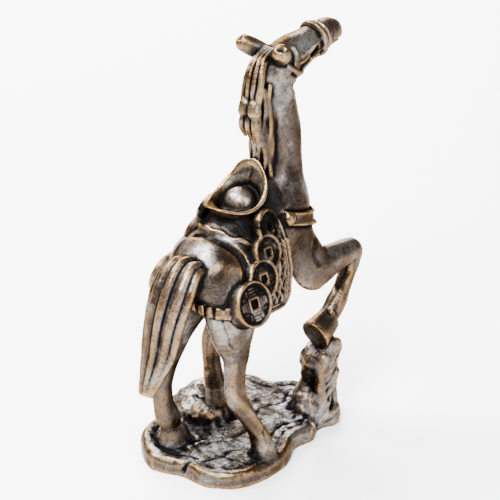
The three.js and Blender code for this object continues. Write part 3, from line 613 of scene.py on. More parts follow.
def saddle_scroll():
    """A wavy roll across the croup behind the ingot, the same on both sides."""
    half = [
        (-11.7, 0.0, 44.0, 0.3, 0.3),
        (-11.3, -1.6, 44.0, 0.42, 0.42),
        (-10.8, -3.2, 43.2, 0.3, 0.3),
        (-9.5, -4.7, 42.9, 0.42, 0.42),
        (-8.2, -6.2, 41.2, 0.2, 0.2),
    ]
    mirrored = [(x, -y, z, depth, width) for x, y, z, depth, width in half[:0:-1]]
    return Limb(mirrored + half)


SADDLE_SCROLL = saddle_scroll()


def haunch_fold(side):
    return Limb([
        (-13.2, 0.0, 43.6, 0.7, 0.8),
        (-12.6, side * 2.6, 43.2, 0.7, 0.8),
        (-11.6, side * 5.4, 41.4, 0.7, 0.8),
        (-11.9, side * 7.4, 38.6, 0.7, 0.8),
        (-12.8, side * 8.2, 36.4, 0.6, 0.7),
    ])


def pit(start, end, radius):
    """The same round hole on both sides."""
    return [Limb([(x, y * side, z, radius, radius) for x, y, z in (start, end)], 2)
            for side in (-1, 1)]


# Two points on the left side and a radius, for ear, nostril, mouth, cheek straps and throat
PITS = [
    ((0.0, 4.2, 73.0), (0.5, 4.7, 73.0), 0.5),
    ((19.9, 1.6, 70.8), (19.5, 1.8, 70.1), 0.5),
    ((20.6, 0.9, 69.0), (17.4, 1.9, 68.9), 0.28),
    ((7.2, 3.0, 67.3), (12.2, 2.35, 69.3), 0.5),
    ((5.6, 3.1, 64.9), (8.0, 1.6, 63.6), 0.7),
]
HOLLOWS = [haunch_fold(-1), haunch_fold(1)]
for start, end, radius in PITS:
    HOLLOWS += pit(start, end, radius)


def hoof_distance(block, top, sole, top_radius, sole_radius, stretch):
    """A cone cut flat at its sole."""
    low = np.minimum(top, sole) - sole_radius * 1.3
    high = np.maximum(top, sole) + sole_radius * 1.3
    if not block.near(low, high, 0.5):
        return None
    top, sole = np.array(top), np.array(sole)
    length = np.linalg.norm(sole - top)
    along = (sole - top) / length
    offset = block.points - top
    reach = offset @ along
    share = np.clip(reach / length, 0, 1)
    radius = top_radius + (sole_radius - top_radius) * share
    rest = (offset - reach[:, None] * along) / np.array([stretch, 1, stretch])
    round_wall = np.sqrt((rest * rest).sum(1)) - radius
    return np.maximum(np.maximum(round_wall, reach - length), -reach - 0.2)


# The top, the middle of the sole, both radii and how much longer than wide the hoof is
HOOVES = [
    ((-7.4, -7.0, 5.0), (-7.0, -7.0, 2.0), 1.9, 2.4, 1.05),
    ((-14.5, 7.0, 7.0), (-13.4, 7.0, 2.0), 1.9, 3.1, 1.1),
    ((-3.0, 7.0, 9.6), (-2.6, 7.0, 6.4), 1.9, 2.3, 1.05),
    ((13.0, -5.0, 20.2), (9.0, -5.0, 18.4), 1.9, 2.6, 1.25),
]

BODY_LIMBS = [
    (Limb(TORSO), 0.0),
    (Limb(NECK), 4.0),
    (Limb(RIGHT_HIND), 2.4),
    (Limb(LEFT_HIND), 2.4),
    (Limb(RAISED_FORELEG), 2.0),
    (Limb(STANDING_FORELEG), 2.0),
]
HEAD_LIMB = Limb(HEAD)
PILLAR_LIMB = Limb(PILLAR)


def make_tail():
    """A core with locks side by side on its outer face, and fewer on its inner face."""
    core = Limb([(x, y, z, 0.42 * depth, 0.72 * width) for x, y, z, depth, width in TAIL])
    hair = [(core, 0.8)]
    for k in range(7):
        share = -1.0 + k / 3
        sway = 0.06 * math.sin(1.9 * k + 0.6)
        size = 0.19 + 0.025 * math.sin(2.3 * k)
        hair.append((strand(TAIL, share + sway, size, 0.66 + 0.12 * math.sin(2.9 * k)), 0.04))
    for share in (-0.75, -0.25, 0.25, 0.75):
        hair.append((strand(TAIL, share, 0.2, -0.5), 0.1))
    return hair


def loose_mane():
    """A swell along the crest of the neck, with wavy strands over it."""
    mane = [(Limb([
        (1.4, 0, 63.0, 1.5, 1.9), (1.0, 0, 58.0, 1.6, 2.2),
        (1.0, 0, 54.0, 1.6, 2.2), (1.4, 0, 50.5, 1.4, 1.8)]), 0.6)]
    for k in range(7):
        y = -2.1 + 0.7 * k
        x = -1.15 + 0.27 * y * y
        top = (x + 0.5, y * 0.9, 64.0 + 0.7 * abs(k - 3))
        line = wavy(top, (x + 0.5, y * 0.9, 50.0), 0.25, 1.7 + 0.2 * (k % 3), 2.1 * k, 9)
        mane.append((Limb([(*point, 0.5, 0.33) for point in line], 2), 0.05))
    return mane


def bound_mane():
    """Four locks from between the ears down to a double knot, and three short ends below it."""
    mane = []
    for k in range(4):
        s = (k - 1.5) / 1.5
        drop = 0.5 * (k % 2)
        deep = 1.15 - 0.45 * abs(s)
        mane.append((Limb([
            (2.8, 0.7 * s, 71.0, 0.7, 0.4), (-0.1, 1.1 * s, 69.6, deep, 0.42),
            (-1.5, 1.6 * s, 66.2, deep, 0.48), (-2.0, 1.5 * s, 63.6 - drop, 0.7, 0.42)]), 0.04))
    for s in (-1, 0, 1):
        mane.append((Limb([
            (-1.8, s * 1.1, 61.6, 0.9, 0.7), (-2.3, s * 1.35, 59.6, 1.1, 0.65),
            (-1.8, s * 1.2, 57.2 + 0.4 * s, 0.6, 0.4)]), 0.06))
    for side in (-1, 1):
        mane.append((Limb([
            (-2.2, side * 0.85, 63.0, 1.15, 1.15), (-2.3, side * 1.0, 62.0, 1.25, 1.2)]), 0.2))
    return mane


def make_ears():
    """Thumb-shaped ears, laid back and outward."""
    ears = []
    for side in (-1, 1):
        ears.append((Limb([
            (3.4, side * 1.8, 70.1, 1.4, 1.4), (2.1, side * 2.9, 71.0, 1.6, 1.6),
            (0.9, side * 3.8, 71.9, 1.5, 1.5)]), 0.5))
    return ears


HAIR_AND_EARS = make_tail() + loose_mane() + bound_mane() + make_ears()


def ground_distance(block):
    """The plate with its rolled edge, the rocks on it and the pillar."""
    if block.low[2] > 22:
        return None
    relief = 0.24 * ripple(block, PLATE_WAVES) + 0.11 * ripple(block, PLATE_FINE_WAVES)
    relief += 0.05 * ripple(block, CRUST_WAVES)
    solid = None
    if block.low[2] < 6:
        edge = outline_distance(block) + PLATE_EDGE_RADIUS
        rise = block.z - (PLATE_THICKNESS - PLATE_EDGE_RADIUS)
        rolled = np.hypot(np.maximum(edge, 0), np.maximum(rise, 0))
        rolled = rolled + np.minimum(np.maximum(edge, rise), 0) - PLATE_EDGE_RADIUS
        trough = 0.35 * np.clip(1 - np.abs(edge + 1.0) / 0.8, 0, 1)
        top_relief = np.where(edge < -0.4, relief, 0.3 * relief)
        solid = rolled + trough - top_relief * ramp(block.z, 0.6, 1.4)
    for x, y, z, a, b, c in ROCK_LUMPS:
        if block.near((x - a, y - b, z - c), (x + a, y + b, z + c), 1.5):
            lump = oval(block.x - x, block.y - y, block.z - z, a, b, c)
            solid = blend(solid, lump - 1.3 * relief, 1.2)
    pillar = PILLAR_LIMB(block, 1.6)
    if pillar is not None:
        rough = 0.45 * ripple(block, PILLAR_WAVES) + 0.14 * ripple(block, PILLAR_FINE_WAVES)
        solid = blend(solid, pillar - rough, 1.2)
    return solid


def casting(block, margin=0.0):
    """The field of the whole casting at the block's points, without the drawn lines."""
    body = None
    for limb, width in BODY_LIMBS:
        body = blend(body, limb(block, margin + max(width, 1.0) + 0.6), width)
    skull = HEAD_LIMB(block, margin + 2.2)
    horse = blend(body, skull, 1.6)
    for limb, width in HAIR_AND_EARS:
        horse = blend(horse, limb(block, margin + width + 0.6), width)
    for hoof in HOOVES:
        horse = blend(horse, hoof_distance(block, *hoof), 0.4)
    for hollow in HOLLOWS:
        cut = hollow(block, margin + 0.6)
        if cut is not None and horse is not None:
            horse = -blend(-horse, cut, 0.3)
    horse = blend(horse, SADDLE_SCROLL(block, margin + 0.6), 0.3)
    horse = lower(horse, tack_distance(body, skull, block))
    horse = lower(horse, cloth_distance(body, block))
    horse = blend(horse, ingot_distance(block), 0.25)
    horse = lower(horse, coins_distance(block))
    solid = blend(ground_distance(block), horse, 0.5)
    if solid is None:
        return np.full_like(block.x, FAR)
    return np.maximum(solid, -block.z)


# Each line is its height, below 0 for a groove, its width and points on the right side.
# Cheek and jaw straps, ear rims and the corner of the mouth
HEAD_LINES = [
    (0.32, 0.4, [(7.6, -3, 69.4), (9.6, -2.7, 70), (13.6, -2.2, 70.6)]),
    (0.3, 0.4, [(7.2, -3, 68.4), (10.5, -2.7, 68.4), (13.6, -2.4, 68.9)]),
    (0.5, 0.65, [(4, -3, 68.6), (6, -3.2, 66.9), (8.8, -2.8, 65.6), (10, 0, 64.8)]),
    (-0.4, 0.5, [(4.6, -3, 67.3), (6.6, -3, 65.6), (8.6, -2.2, 64.4)]),
    (0.35, 0.4, [(5.6, -2.9, 68.3), (6.5, -2.7, 69.6), (6.4, -2.2, 71)]),
    (-0.35, 0.4, [(5, -2.9, 68.6), (5.7, -2.6, 69.8), (5.6, -2.2, 70.9)]),
    (0.5, 0.8, [(11.8, -2.6, 68), (12.6, -2.4, 67.8)]),
]
# Muscle lines, folds and creases of the trunk and the legs, and the end of the collar
BODY_LINES = [
    (-0.4, 0.5, [(-17.6, -7, 32), (-16.2, -7.3, 28.3)]),
    (-0.35, 0.4, [(-17.2, -7, 28.6), (-15.5, -7.5, 26.5)]),
    (-0.3, 1, [(7.6, -6.3, 37.2), (6.6, -6.6, 35.2), (7.4, -6.9, 33.4)]),
    (0.25, 1.2, [(4.9, -5, 30.4), (6.2, -5.6, 29), (8.4, -6.2, 28.2)]),
    (0.45, 0.7, [(17.6, -5.9, 30), (17.3, -5.9, 27.8), (15.8, -5.9, 25.2)]),
    (-0.7, 0.9, [(16.7, -5.4, 29.2), (16.3, -5.4, 27.4), (15.2, -5.2, 25.4)]),
    (-0.4, 0.45, [(13.4, -5.9, 22.6), (13.1, -6.2, 22.2)]),
    (-0.4, 0.45, [(12.1, -5.6, 22.4), (11.9, -5.8, 22)]),
    (0.35, 1.1, [(-14.6, -7, 23), (-15.2, -7.2, 18.4), (-13, -7.8, 14.6), (-9.4, -8.2, 9.6)]),
    (-0.25, 0.9, [(-12.2, -7.4, 22), (-12.4, -8, 18), (-10.6, -8.2, 14)]),
    (-0.35, 0.4, [(-8.9, -8.5, 8.6), (-8.2, -8.8, 6)]),
    (0.5, 0.6, [(7.7, -4.2, 42.7), (7.4, -4.3, 40.7)]),
]
# Cracks and slab edges on the plate
PLATE_LINES = [
    (-0.7, 0.6, [(-15.2, -1, 3), (-12, -2.2, 3), (-9.8, -1.8, 3), (-7.2, -4.6, 3)]),
    (-0.5, 0.5, [(-12, -2.2, 3), (-11.6, -5.6, 3)]),
    (-0.6, 0.5, [(-13, 4.4, 3), (-9, 4, 3), (-6.2, 1, 3), (-2, 0.4, 3)]),
    (0.6, 0.7, [(-13.8, 3.8, 3), (-9.4, 3.2, 3), (-6.8, 0.4, 3)]),
    (-0.5, 0.5, [(-4, -5.6, 3), (-0.6, -3.4, 3), (3.4, -3, 3), (6.2, -4.6, 3)]),
    (-0.4, 0.45, [(1, 2, 3), (5, 3.6, 3), (9, 2.2, 3), (13, 4, 3)]),
    (0.5, 0.8, [(2, 5, 3), (6.4, 6.4, 3), (10.8, 5.4, 3)]),
]
# Notches in the plate's edge
EDGE_NOTCHES = [
    (-0.7, 0.7, [(-17.9, 1.6, 1.4), (-16.9, 1.2, 2.6)]),
    (-0.6, 0.6, [(7.1, -6.9, 1.5), (6.8, -6.0, 2.8)]),
]
# Drips down the pillar: where each one stands round it, its foot and its top
PILLAR_DRIPS = [(-2.3, 5, 14), (-0.9, 5, 16), (2.0, 4, 13)]


def draw_lines():
    """All the ridges and grooves of the casting, in millimetres."""
    lines = Lines()
    for height, width, line in HEAD_LINES + BODY_LINES:
        lines.add(height, width, line, both=True)
    for height, width, line in PLATE_LINES:
        lines.add(height, width, line)
    for height, width, line in EDGE_NOTCHES:
        lines.add(height, width, line, smooth=0)
    for turn, low, high in PILLAR_DRIPS:
        x = 12.0 + 3.0 * math.cos(turn)
        y = -3.8 + 3.0 * math.sin(turn)
        drip = wavy((x, y, high), (x * 1.02, y, low), 0.7, 0.8, turn * 3, 7)
        lines.add(0.6, 1.3, drip, smooth=0)
    return lines


LINES = draw_lines()
LINES.settle(lambda points: casting(Block(points)))


def statuette(block, margin=0.0):
    """The casting with its drawn lines and the slight unevenness of a small casting."""
    return casting(block, margin) - LINES(block) - 0.05 * ripple(block, SKIN_WAVES)


# Each spot is x, y, z, its half lengths and how much darker it is, or lighter below 0. The lighter spots
# are painted highlights on surfaces that face the lamps, such as the haunch, the top of the head, the
# ingot's dome and the plate. The darker spots are painted shade on the far legs, the chest, the neck and
# the forearm. Some of both is real tone.
LIGHT_AND_TONE_SPOTS = [
    (-17, -2, 42.5, 3.6, 3.6, 2.4, -1.6),
    (-14.2, -5.2, 39.6, 3.4, 3.6, 3.2, 1.6),
    (-16.5, -6.5, 30.5, 3, 4, 3.4, -1.2),
    (-12.8, -7.5, 20.5, 2.6, 3, 7.5, 1.3),
    (9.5, -2, 71.2, 4.5, 3, 2.4, -1.6),
    (3.8, -4, 50, 2.6, 3, 5, 0.5),
    (8.5, -2, 52, 3, 4, 12, 1),
    (6, -5, 38.5, 6, 6, 7, 1.4),
    (11, -6, 31.5, 6, 4, 3, 0.7),
    (8.8, -5, 18.4, 1.4, 2, 2.8, -0.8),
    (-5.3, 0, 46.8, 3.2, 3.2, 3.4, -1.6),
    (-17, 5.5, 20, 3, 3, 11, 0.6),
    (-4.5, 6, 18, 4, 3, 10, 1.2),
    (-13.6, 7, 4, 4, 4, 3, 1),
    (1.4, 0, 51.5, 2.6, 4.5, 4.5, 1.2),
    (0.8, 0, 57, 1.6, 3.6, 7, 0.6),
    (6, 0, 3, 8, 9, 2, -0.9),
    (-1, 11, 5, 7, 6, 6, -0.6),
]

# Each spot is x, y either way, z, its half lengths and how black it is. Most are painted shade under the
# ingot, under the jaw, in the ear and nostril pits, between the forelock and the ears, beside the mane
# and beside the noseband. The two spots on the collar are its darker patina.
SHADE_AND_PATINA_SPOTS = [
    (-6, 4.4, 43.8, 5, 2.6, 2, 1),
    (-8.6, 6.6, 39.6, 1.9, 2, 3.2, 0.9),
    (3.2, 5.3, 42.9, 2.4, 2, 0.8, 0.75),
    (6, 4.6, 42, 2, 2.4, 0.8, 0.75),
    (7.2, 2.6, 64.4, 2, 1.6, 1.8, 0.8),
    (0.7, 2.2, 69.2, 1.2, 1, 2.2, 0.7),
    (1.6, 1.6, 52, 1.6, 2.2, 3, 0.5),
    (0, 1.6, 60, 1.4, 1.6, 7, 0.3),
    (0.2, 4.5, 72.9, 0.6, 0.7, 0.5, 1.2),
    (19.6, 1.8, 70.4, 0.6, 0.6, 0.6, 1.2),
    (13.2, 1.6, 70, 0.35, 2.6, 3, 0.7),
    (16.4, 1.6, 70, 0.35, 2.6, 3, 0.7),
]

# Each spot is x, y, z, its half lengths and how golden it is.
GOLD_SPOTS = [
    (-21.5, 0.5, 32, 5, 6.5, 9, 1),
    (-24, 2, 21, 3.5, 3.5, 6, 0.9),
    (0.9, -4.2, 71.9, 2.2, 2.2, 1.8, 1),
    (0.9, 4.2, 71.9, 2.2, 2.2, 1.8, 0.8),
    (-1.2, 0, 66, 2.2, 4, 5, 0.8),
    (-2.4, 0, 60.5, 1.6, 3, 3.5, 0.5),
    (18.5, 0, 69.5, 3, 3, 3, 0.6),
    (13.9, 0, 69.5, 1.3, 3.6, 4, 0.8),
    (-13, -7.5, 18, 2.6, 2, 6.5, 0.3),
    (-8.4, -8, 8, 3, 2.5, 6, 0.4),
    (19.5, -5.2, 30, 2.5, 3, 4.5, 0.7),
    (6.5, -5.5, 29, 4, 3, 2, 0.6),
    (-16.6, -7, 33.4, 4, 4, 1.2, 1),
    (15.5, -6.8, 21, 2.4, 3, 3.4, 0.8),
    (12.5, -6.5, 9, 3, 3, 7, 0.4),
]


def spots(block, listed):
    """The sum of soft oval spots at each point."""
    total = np.zeros_like(block.x)
    for x, y, z, a, b, c, amount in listed:
        square = ((block.x - x) / a) ** 2 + ((block.y - y) / b) ** 2 + ((block.z - z) / c) ** 2
        total += amount * (1 - ramp(np.sqrt(square), 0.35, 1.15))
    return total


def coin_patina(block):
    """Dark between the strokes of the coins' faces."""
    dark = np.zeros_like(block.x)
    for place, turn, outer, _ in COINS:
        u, v, w = ((block.points - place.astype(np.float32)) @ turn).T
        face = (np.hypot(u, v) < outer - COIN_RIM_WIDTH * 0.8) & (np.abs(w) < 0.7)
        dark = np.maximum(dark, np.where(face, 1 - ramp(w, 0.05, 0.16), 0))
        wall = (np.hypot(u, v) < outer + 0.3) & (w < -0.25) & (w > -1.6)
        dark = np.maximum(dark, np.where(wall, 0.6, 0))
    return dark


def cloth_patina(block):
    """Dark between the ridges of the saddle cloth."""
    body = None
    for limb, width in BODY_LIMBS:
        body = blend(body, limb(block, 30.0), width)
    edge, _, sheet = cloth_parts(body, block)
    level = np.minimum(sheet, block.z - CLOTH_TOP + 0.5)
    there = (edge < 0.1) & (level > -0.3) & (level < 0.6) & (np.abs(block.y) > 3)
    there &= (block.z < CLOTH_TOP) & (block.z > CLOTH_HEM - 0.2)
    return np.where(there, 1 - ramp(level, 0.08, 0.26), 0)


def ingot_darkening(block):
    """Black in the well round the ingot's dome and on its outer wall, half as dark on its ends."""
    u, w, rise = ingot_frame(block)
    radius = np.hypot(u + WELL_AHEAD, block.y)
    well = (radius < 5.2) & (np.abs(w + 0.9) < 1.6) & (w < rise - 0.4)
    wall = (w < rise - 1.1) & (w > INGOT_BOTTOM - 0.6) & (radius < 7) & (np.abs(u) < 6.2)
    dome = dome_reach(u, block.y, w) < DOME_RADIUS + 0.15
    wing = np.hypot((u + WELL_AHEAD) / 5.3, block.y / 4.3) < 1
    wing &= (np.abs(w - rise) < 0.8) & (radius > 2.9)
    return np.where((well | wall) & ~dome, 0.9, np.where(wing, 0.5, 0.0))


GRID_LOW = np.array([-28.0, -12.4, -0.9])
GRID_SIZE = np.array([51.0, 31.8, 76.0])
GRID_CELLS = np.ceil(GRID_SIZE / (CELL * BLOCK * GROUP)).astype(int) * BLOCK * GROUP


def sample_field():
    """Field values on the grid. Blocks away from the surface take one value each."""
    values = np.empty(GRID_CELLS, np.float32)
    size = CELL * BLOCK
    steps = np.array(list(np.ndindex(BLOCK, BLOCK, BLOCK))) * CELL
    jumps = np.array(list(np.ndindex(GROUP, GROUP, GROUP)))
    close = size * math.sqrt(3) / 2 * 1.25 + 0.8
    for group in np.ndindex(*(GRID_CELLS // (BLOCK * GROUP))):
        blocks = np.array(group) * GROUP + jumps
        corners = GRID_LOW + blocks * size
        middles = corners + CELL * (BLOCK - 1) / 2
        found = statuette(Block(middles), close)
        for place, corner, middle in zip(blocks * BLOCK, corners, found):
            where = tuple(slice(i, i + BLOCK) for i in place)
            if abs(middle) > close:
                values[where] = middle
            else:
                block = Block(corner + steps, corner, corner + (BLOCK - 1) * CELL)
                values[where] = statuette(block, 0.6).reshape(BLOCK, BLOCK, BLOCK)
    values[values == 0] = 1e-6
    return values


def trace(values):
    """Vertices and four-sided faces of the zero level, one vertex in each crossed cell."""
    inside = values < 0
    shape = np.array(values.shape) - 1
    crossings = []
    for axis in range(3):
        low = [slice(None)] * 3
        high = [slice(None)] * 3
        low[axis] = slice(0, -1)
        high[axis] = slice(1, None)
        low, high = tuple(low), tuple(high)
        where = np.nonzero(inside[low] != inside[high])
        first, second = values[low][where], values[high][where]
        crossings.append((np.stack(where, 1), first / (first - second), first < 0))
    width = np.array([shape[1] * shape[2], shape[2], 1])
    count = np.zeros(shape.prod(), np.uint8)
    for axis, (edges, _, _) in enumerate(crossings):
        one, two = [width[other] for other in range(3) if other != axis]
        flat = edges @ width
        for step in (0, one, two, one + two):
            count[flat - step] += 1
    cells = np.flatnonzero(count)
    number = np.full(len(count), -1, np.int32)
    number[cells] = np.arange(len(cells))
    total = np.zeros((len(cells), 3), np.float32)
    faces = []
    for axis, (edges, share, outward) in enumerate(crossings):
        one, two = [width[(axis + turn) % 3] for turn in (1, 2)]
        flat = edges @ width
        place = edges.astype(np.float32)
        place[:, axis] += share
        ring = [number[flat - step] for step in (0, one, one + two, two)]
        for corner in ring:
            total[corner] += place
        ring = np.stack(ring, 1)
        faces.append(ring[~outward])
        faces.append(ring[outward][:, ::-1])
    vertices = total / count[cells][:, None] * CELL + GRID_LOW
    return vertices, np.concatenate(faces)


def largest_part(vertices, faces):
    """The outer skin: the connected faces that hold most vertices."""
    label = np.arange(len(vertices))
    while True:
        lowest = label[faces].min(1)
        update = label.copy()
        for corner in range(4):
            np.minimum.at(update, faces[:, corner], lowest)
        update = update[update]
        if (update == label).all():
            break
        label = update
    names, sizes = np.unique(label, return_counts=True)
    keep = label == names[sizes.argmax()]
    order = np.cumsum(keep) - 1
    return vertices[keep], order[faces[keep[faces[:, 0]]]]


def soften(volume, cells):
    """A running mean along each axis, twice."""
    for _ in range(2):
        for axis in range(3):
            total = np.cumsum(volume, axis=axis, dtype=np.float32)
            last = volume.shape[axis] - 1
            steps = np.arange(volume.shape[axis])
            ahead = np.take(total, np.minimum(steps + cells, last), axis=axis)
            behind = np.take(total, np.maximum(steps - cells - 1, 0), axis=axis)
            volume = (ahead - behind) / (2 * cells + 1)
    return volume


def crowding(fullness, cells, vertices):
    """How full the space round each vertex is: over a half in a recess, under on an edge."""
    volume = soften(fullness, cells)
    place = (vertices - GRID_LOW) / (2 * CELL) - 0.25
    corner = np.clip(np.floor(place).astype(int), 0, np.array(volume.shape) - 2)
    share = place - corner
    total = 0.0
    for i, j, k in np.ndindex(2, 2, 2):
        weight = np.abs(np.array([1 - i, 1 - j, 1 - k]) - share).prod(1)
        total = total + weight * volume[corner[:, 0] + i, corner[:, 1] + j, corner[:, 2] + k]
    return total


def thin(mesh, triangles):
    """The mesh with fewer faces, by Blender's own collapse."""
    piece = bpy.data.objects.new("rough", mesh)
    bpy.context.scene.collection.objects.link(piece)
    mesh.calc_loop_triangles()
    modifier = piece.modifiers.new("thin", "DECIMATE")
    modifier.ratio = min(1.0, triangles / len(mesh.loop_triangles))
    depsgraph = bpy.context.evaluated_depsgraph_get()
    result = bpy.data.meshes.new_from_object(piece.evaluated_get(depsgraph))
    bpy.data.objects.remove(piece)
    return result


def surface_values(values, places):
    """What the material has to know at each vertex, by name."""
    half = values.shape[0] // 2, 2, values.shape[1] // 2, 2, values.shape[2] // 2, 2
    fullness = np.clip(0.5 - values / CELL, 0, 1).reshape(half).mean((1, 3, 5), dtype=np.float32)
    block = Block(places)
    mirrored = Block(places * [1, 0, 1] + np.abs(places) * [0, 1, 0])
    dark = np.maximum(coin_patina(block), ingot_darkening(block))
    dark = np.maximum(dark, cloth_patina(block))
    low = 1 - ramp(block.z, 3.0, 5.0)
    return {
        "near_crowding": crowding(fullness, 1, places),
        "wide_crowding": crowding(fullness, 3, places),
        # Patina on the coins, the cloth and the collar, with painted shade in pits and creases and under
        # the ingot
        "patina_and_shade": np.clip(dark + spots(mirrored, SHADE_AND_PATINA_SPOTS), 0, 1),
        # Painted highlights and painted shade from the spots, with some real tone
        "light_and_tone": spots(block, LIGHT_AND_TONE_SPOTS),
        "gold": spots(block, GOLD_SPOTS),
        "plate": low * ramp(-outline_distance(block), 0.6, 1.4),
    }


def make_statuette():
    values = sample_field()
    vertices, faces = trace(values)
    vertices, faces = largest_part(vertices, faces)
    rough = bpy.data.meshes.new("rough")
    rough.from_pydata((vertices * MM).tolist(), [], faces.tolist())
    mesh = thin(rough, TRIANGLES)
    mesh.name = "horse_casting"
    places = np.empty(len(mesh.vertices) * 3)
    mesh.vertices.foreach_get("co", places)
    places = places.reshape(-1, 3) / MM
    for name, value in surface_values(values, places).items():
        data = mesh.attributes.new(name, "FLOAT", "POINT")
        data.data.foreach_set("value", value.astype(np.float32))
    mesh.polygons.foreach_set("use_smooth", [True] * len(mesh.polygons))
    piece = bpy.data.objects.new("horse_casting", mesh)
    bpy.context.scene.collection.objects.link(piece)
    return piece


class Shader:
    """Short calls for building a node material."""

    def __init__(self, name):
        self.material = bpy.data.materials.new(name)
        self.material.use_nodes = True
        self.tree = self.material.node_tree
        self.surface = self.tree.nodes["Principled BSDF"]

    def node(self, kind, **settings):
        made = self.tree.nodes.new(kind)
        for key, value in settings.items():
            setattr(made, key, value)
        return made

    def link(self, source, target):
        self.tree.links.new(source, target)

    def attribute(self, name):
        return self.node("ShaderNodeAttribute", attribute_name=name).outputs["Fac"]

    def noise(self, scale, detail, roughness):
        place = self.node("ShaderNodeTexCoord").outputs["Object"]
        noise = self.node("ShaderNodeTexNoise")
        noise.inputs["Scale"].default_value = scale
        noise.inputs["Detail"].default_value = detail
        noise.inputs["Roughness"].default_value = roughness
        self.link(place, noise.inputs["Vector"])
        return noise.outputs["Fac"]

    def spread(self, value, low, high, out_low=0.0, out_high=1.0):
        mapped = self.node("ShaderNodeMapRange", clamp=True)
        self.link(value, mapped.inputs["Value"])
        limits = {"From Min": low, "From Max": high, "To Min": out_low, "To Max": out_high}
        for key, number in limits.items():
            mapped.inputs[key].default_value = number
        return mapped.outputs["Result"]

    def maths(self, operation, first, second):
        made = self.node("ShaderNodeMath", operation=operation)
        for slot, value in zip(made.inputs, (first, second)):
            if isinstance(value, (int, float)):
                slot.default_value = value
            else:
                self.link(value, slot)
        return made.outputs[0]

    def mix(self, share, first, second):
        made = self.node("ShaderNodeMix", data_type="RGBA")
        self.link(share, made.inputs["Factor"])
        for slot, value in zip((made.inputs[6], made.inputs[7]), (first, second)):
            if isinstance(value, tuple):
                slot.default_value = (*value, 1.0)
            else:
                self.link(value, slot)
        return made.outputs[2]


SKIN_DARK = (0.012, 0.009, 0.0075)
SKIN_MIDDLE = (0.054, 0.042, 0.035)
# Worn silver of the skin, and also the colour of the painted highlights
SKIN_WORN_AND_HIGHLIGHT = (0.29, 0.27, 0.255)
BRASS_DULL = (0.11, 0.06, 0.024)
BRASS_BRIGHT = (0.32, 0.20, 0.088)
ROCK_DARK = (0.03, 0.029, 0.028)
ROCK_LIGHT = (0.30, 0.295, 0.29)
ROCK_CRUST = (0.012, 0.011, 0.011)
PIT_BLACK = (0.014, 0.011, 0.01)
# Black of the patina, and of the painted shade in recesses
SHADE_AND_PATINA_BLACK = (0.005, 0.0045, 0.0045)
EDGE_TINT = (0.45, 0.42, 0.4, 1)


def skin_colour(shader, mottle):
    """Grey-brown in soft patches, from nearly black to worn silver, with painted highlights and painted
    shade added from the light and tone spots.
    """
    patch = shader.spread(shader.noise(70.0, 4.0, 0.6), 0.4, 0.62, -0.35, 0.35)
    light_and_tone = shader.maths("ADD", shader.spread(mottle, 0.32, 0.66), patch)
    light_and_tone = shader.maths("SUBTRACT", light_and_tone, shader.maths("MULTIPLY", shader.attribute("light_and_tone"), 0.7))
    skin = shader.mix(shader.spread(light_and_tone, -0.7, 0.5), SKIN_DARK, SKIN_MIDDLE)
    return shader.mix(shader.spread(light_and_tone, 0.5, 1.7), skin, SKIN_WORN_AND_HIGHLIGHT)


def golden_share(shader, crowding_here):
    """How golden the metal is: on sharp edges, and on more of it where it is much rubbed."""
    edge = shader.maths("MULTIPLY", shader.spread(crowding_here, 0.47, 0.37), 0.7)
    rubbed = shader.maths("MULTIPLY", shader.attribute("gold"), shader.spread(crowding_here, 0.51, 0.43))
    return shader.maths("MAXIMUM", edge, shader.maths("MULTIPLY", rubbed, 0.75))


def rock_colour(shader, mottle, crust, plate, colour):
    """The colour, turned grey with a dark crust on top of the plate."""
    stone = shader.mix(shader.spread(mottle, 0.42, 0.6), ROCK_DARK, ROCK_LIGHT)
    colour = shader.mix(shader.maths("MULTIPLY", plate, 0.75), colour, stone)
    crusted = shader.maths("MULTIPLY", plate, shader.spread(crust, 0.45, 0.55))
    return shader.mix(shader.maths("MULTIPLY", crusted, 0.85), colour, ROCK_CRUST)


def add_grain(shader, mottle, crust, speck, plate):
    """Fine casting grain, coarser on the plate."""
    grain = shader.maths("ADD", speck, shader.maths("MULTIPLY", mottle, 1.5))
    rocky = shader.maths("MULTIPLY", crust, shader.maths("MULTIPLY", plate, 3.0))
    bump = shader.node("ShaderNodeBump")
    bump.inputs["Strength"].default_value = 0.6
    bump.inputs["Distance"].default_value = 0.00012
    shader.link(shader.maths("ADD", grain, rocky), bump.inputs["Height"])
    shader.link(bump.outputs["Normal"], shader.surface.inputs["Normal"])


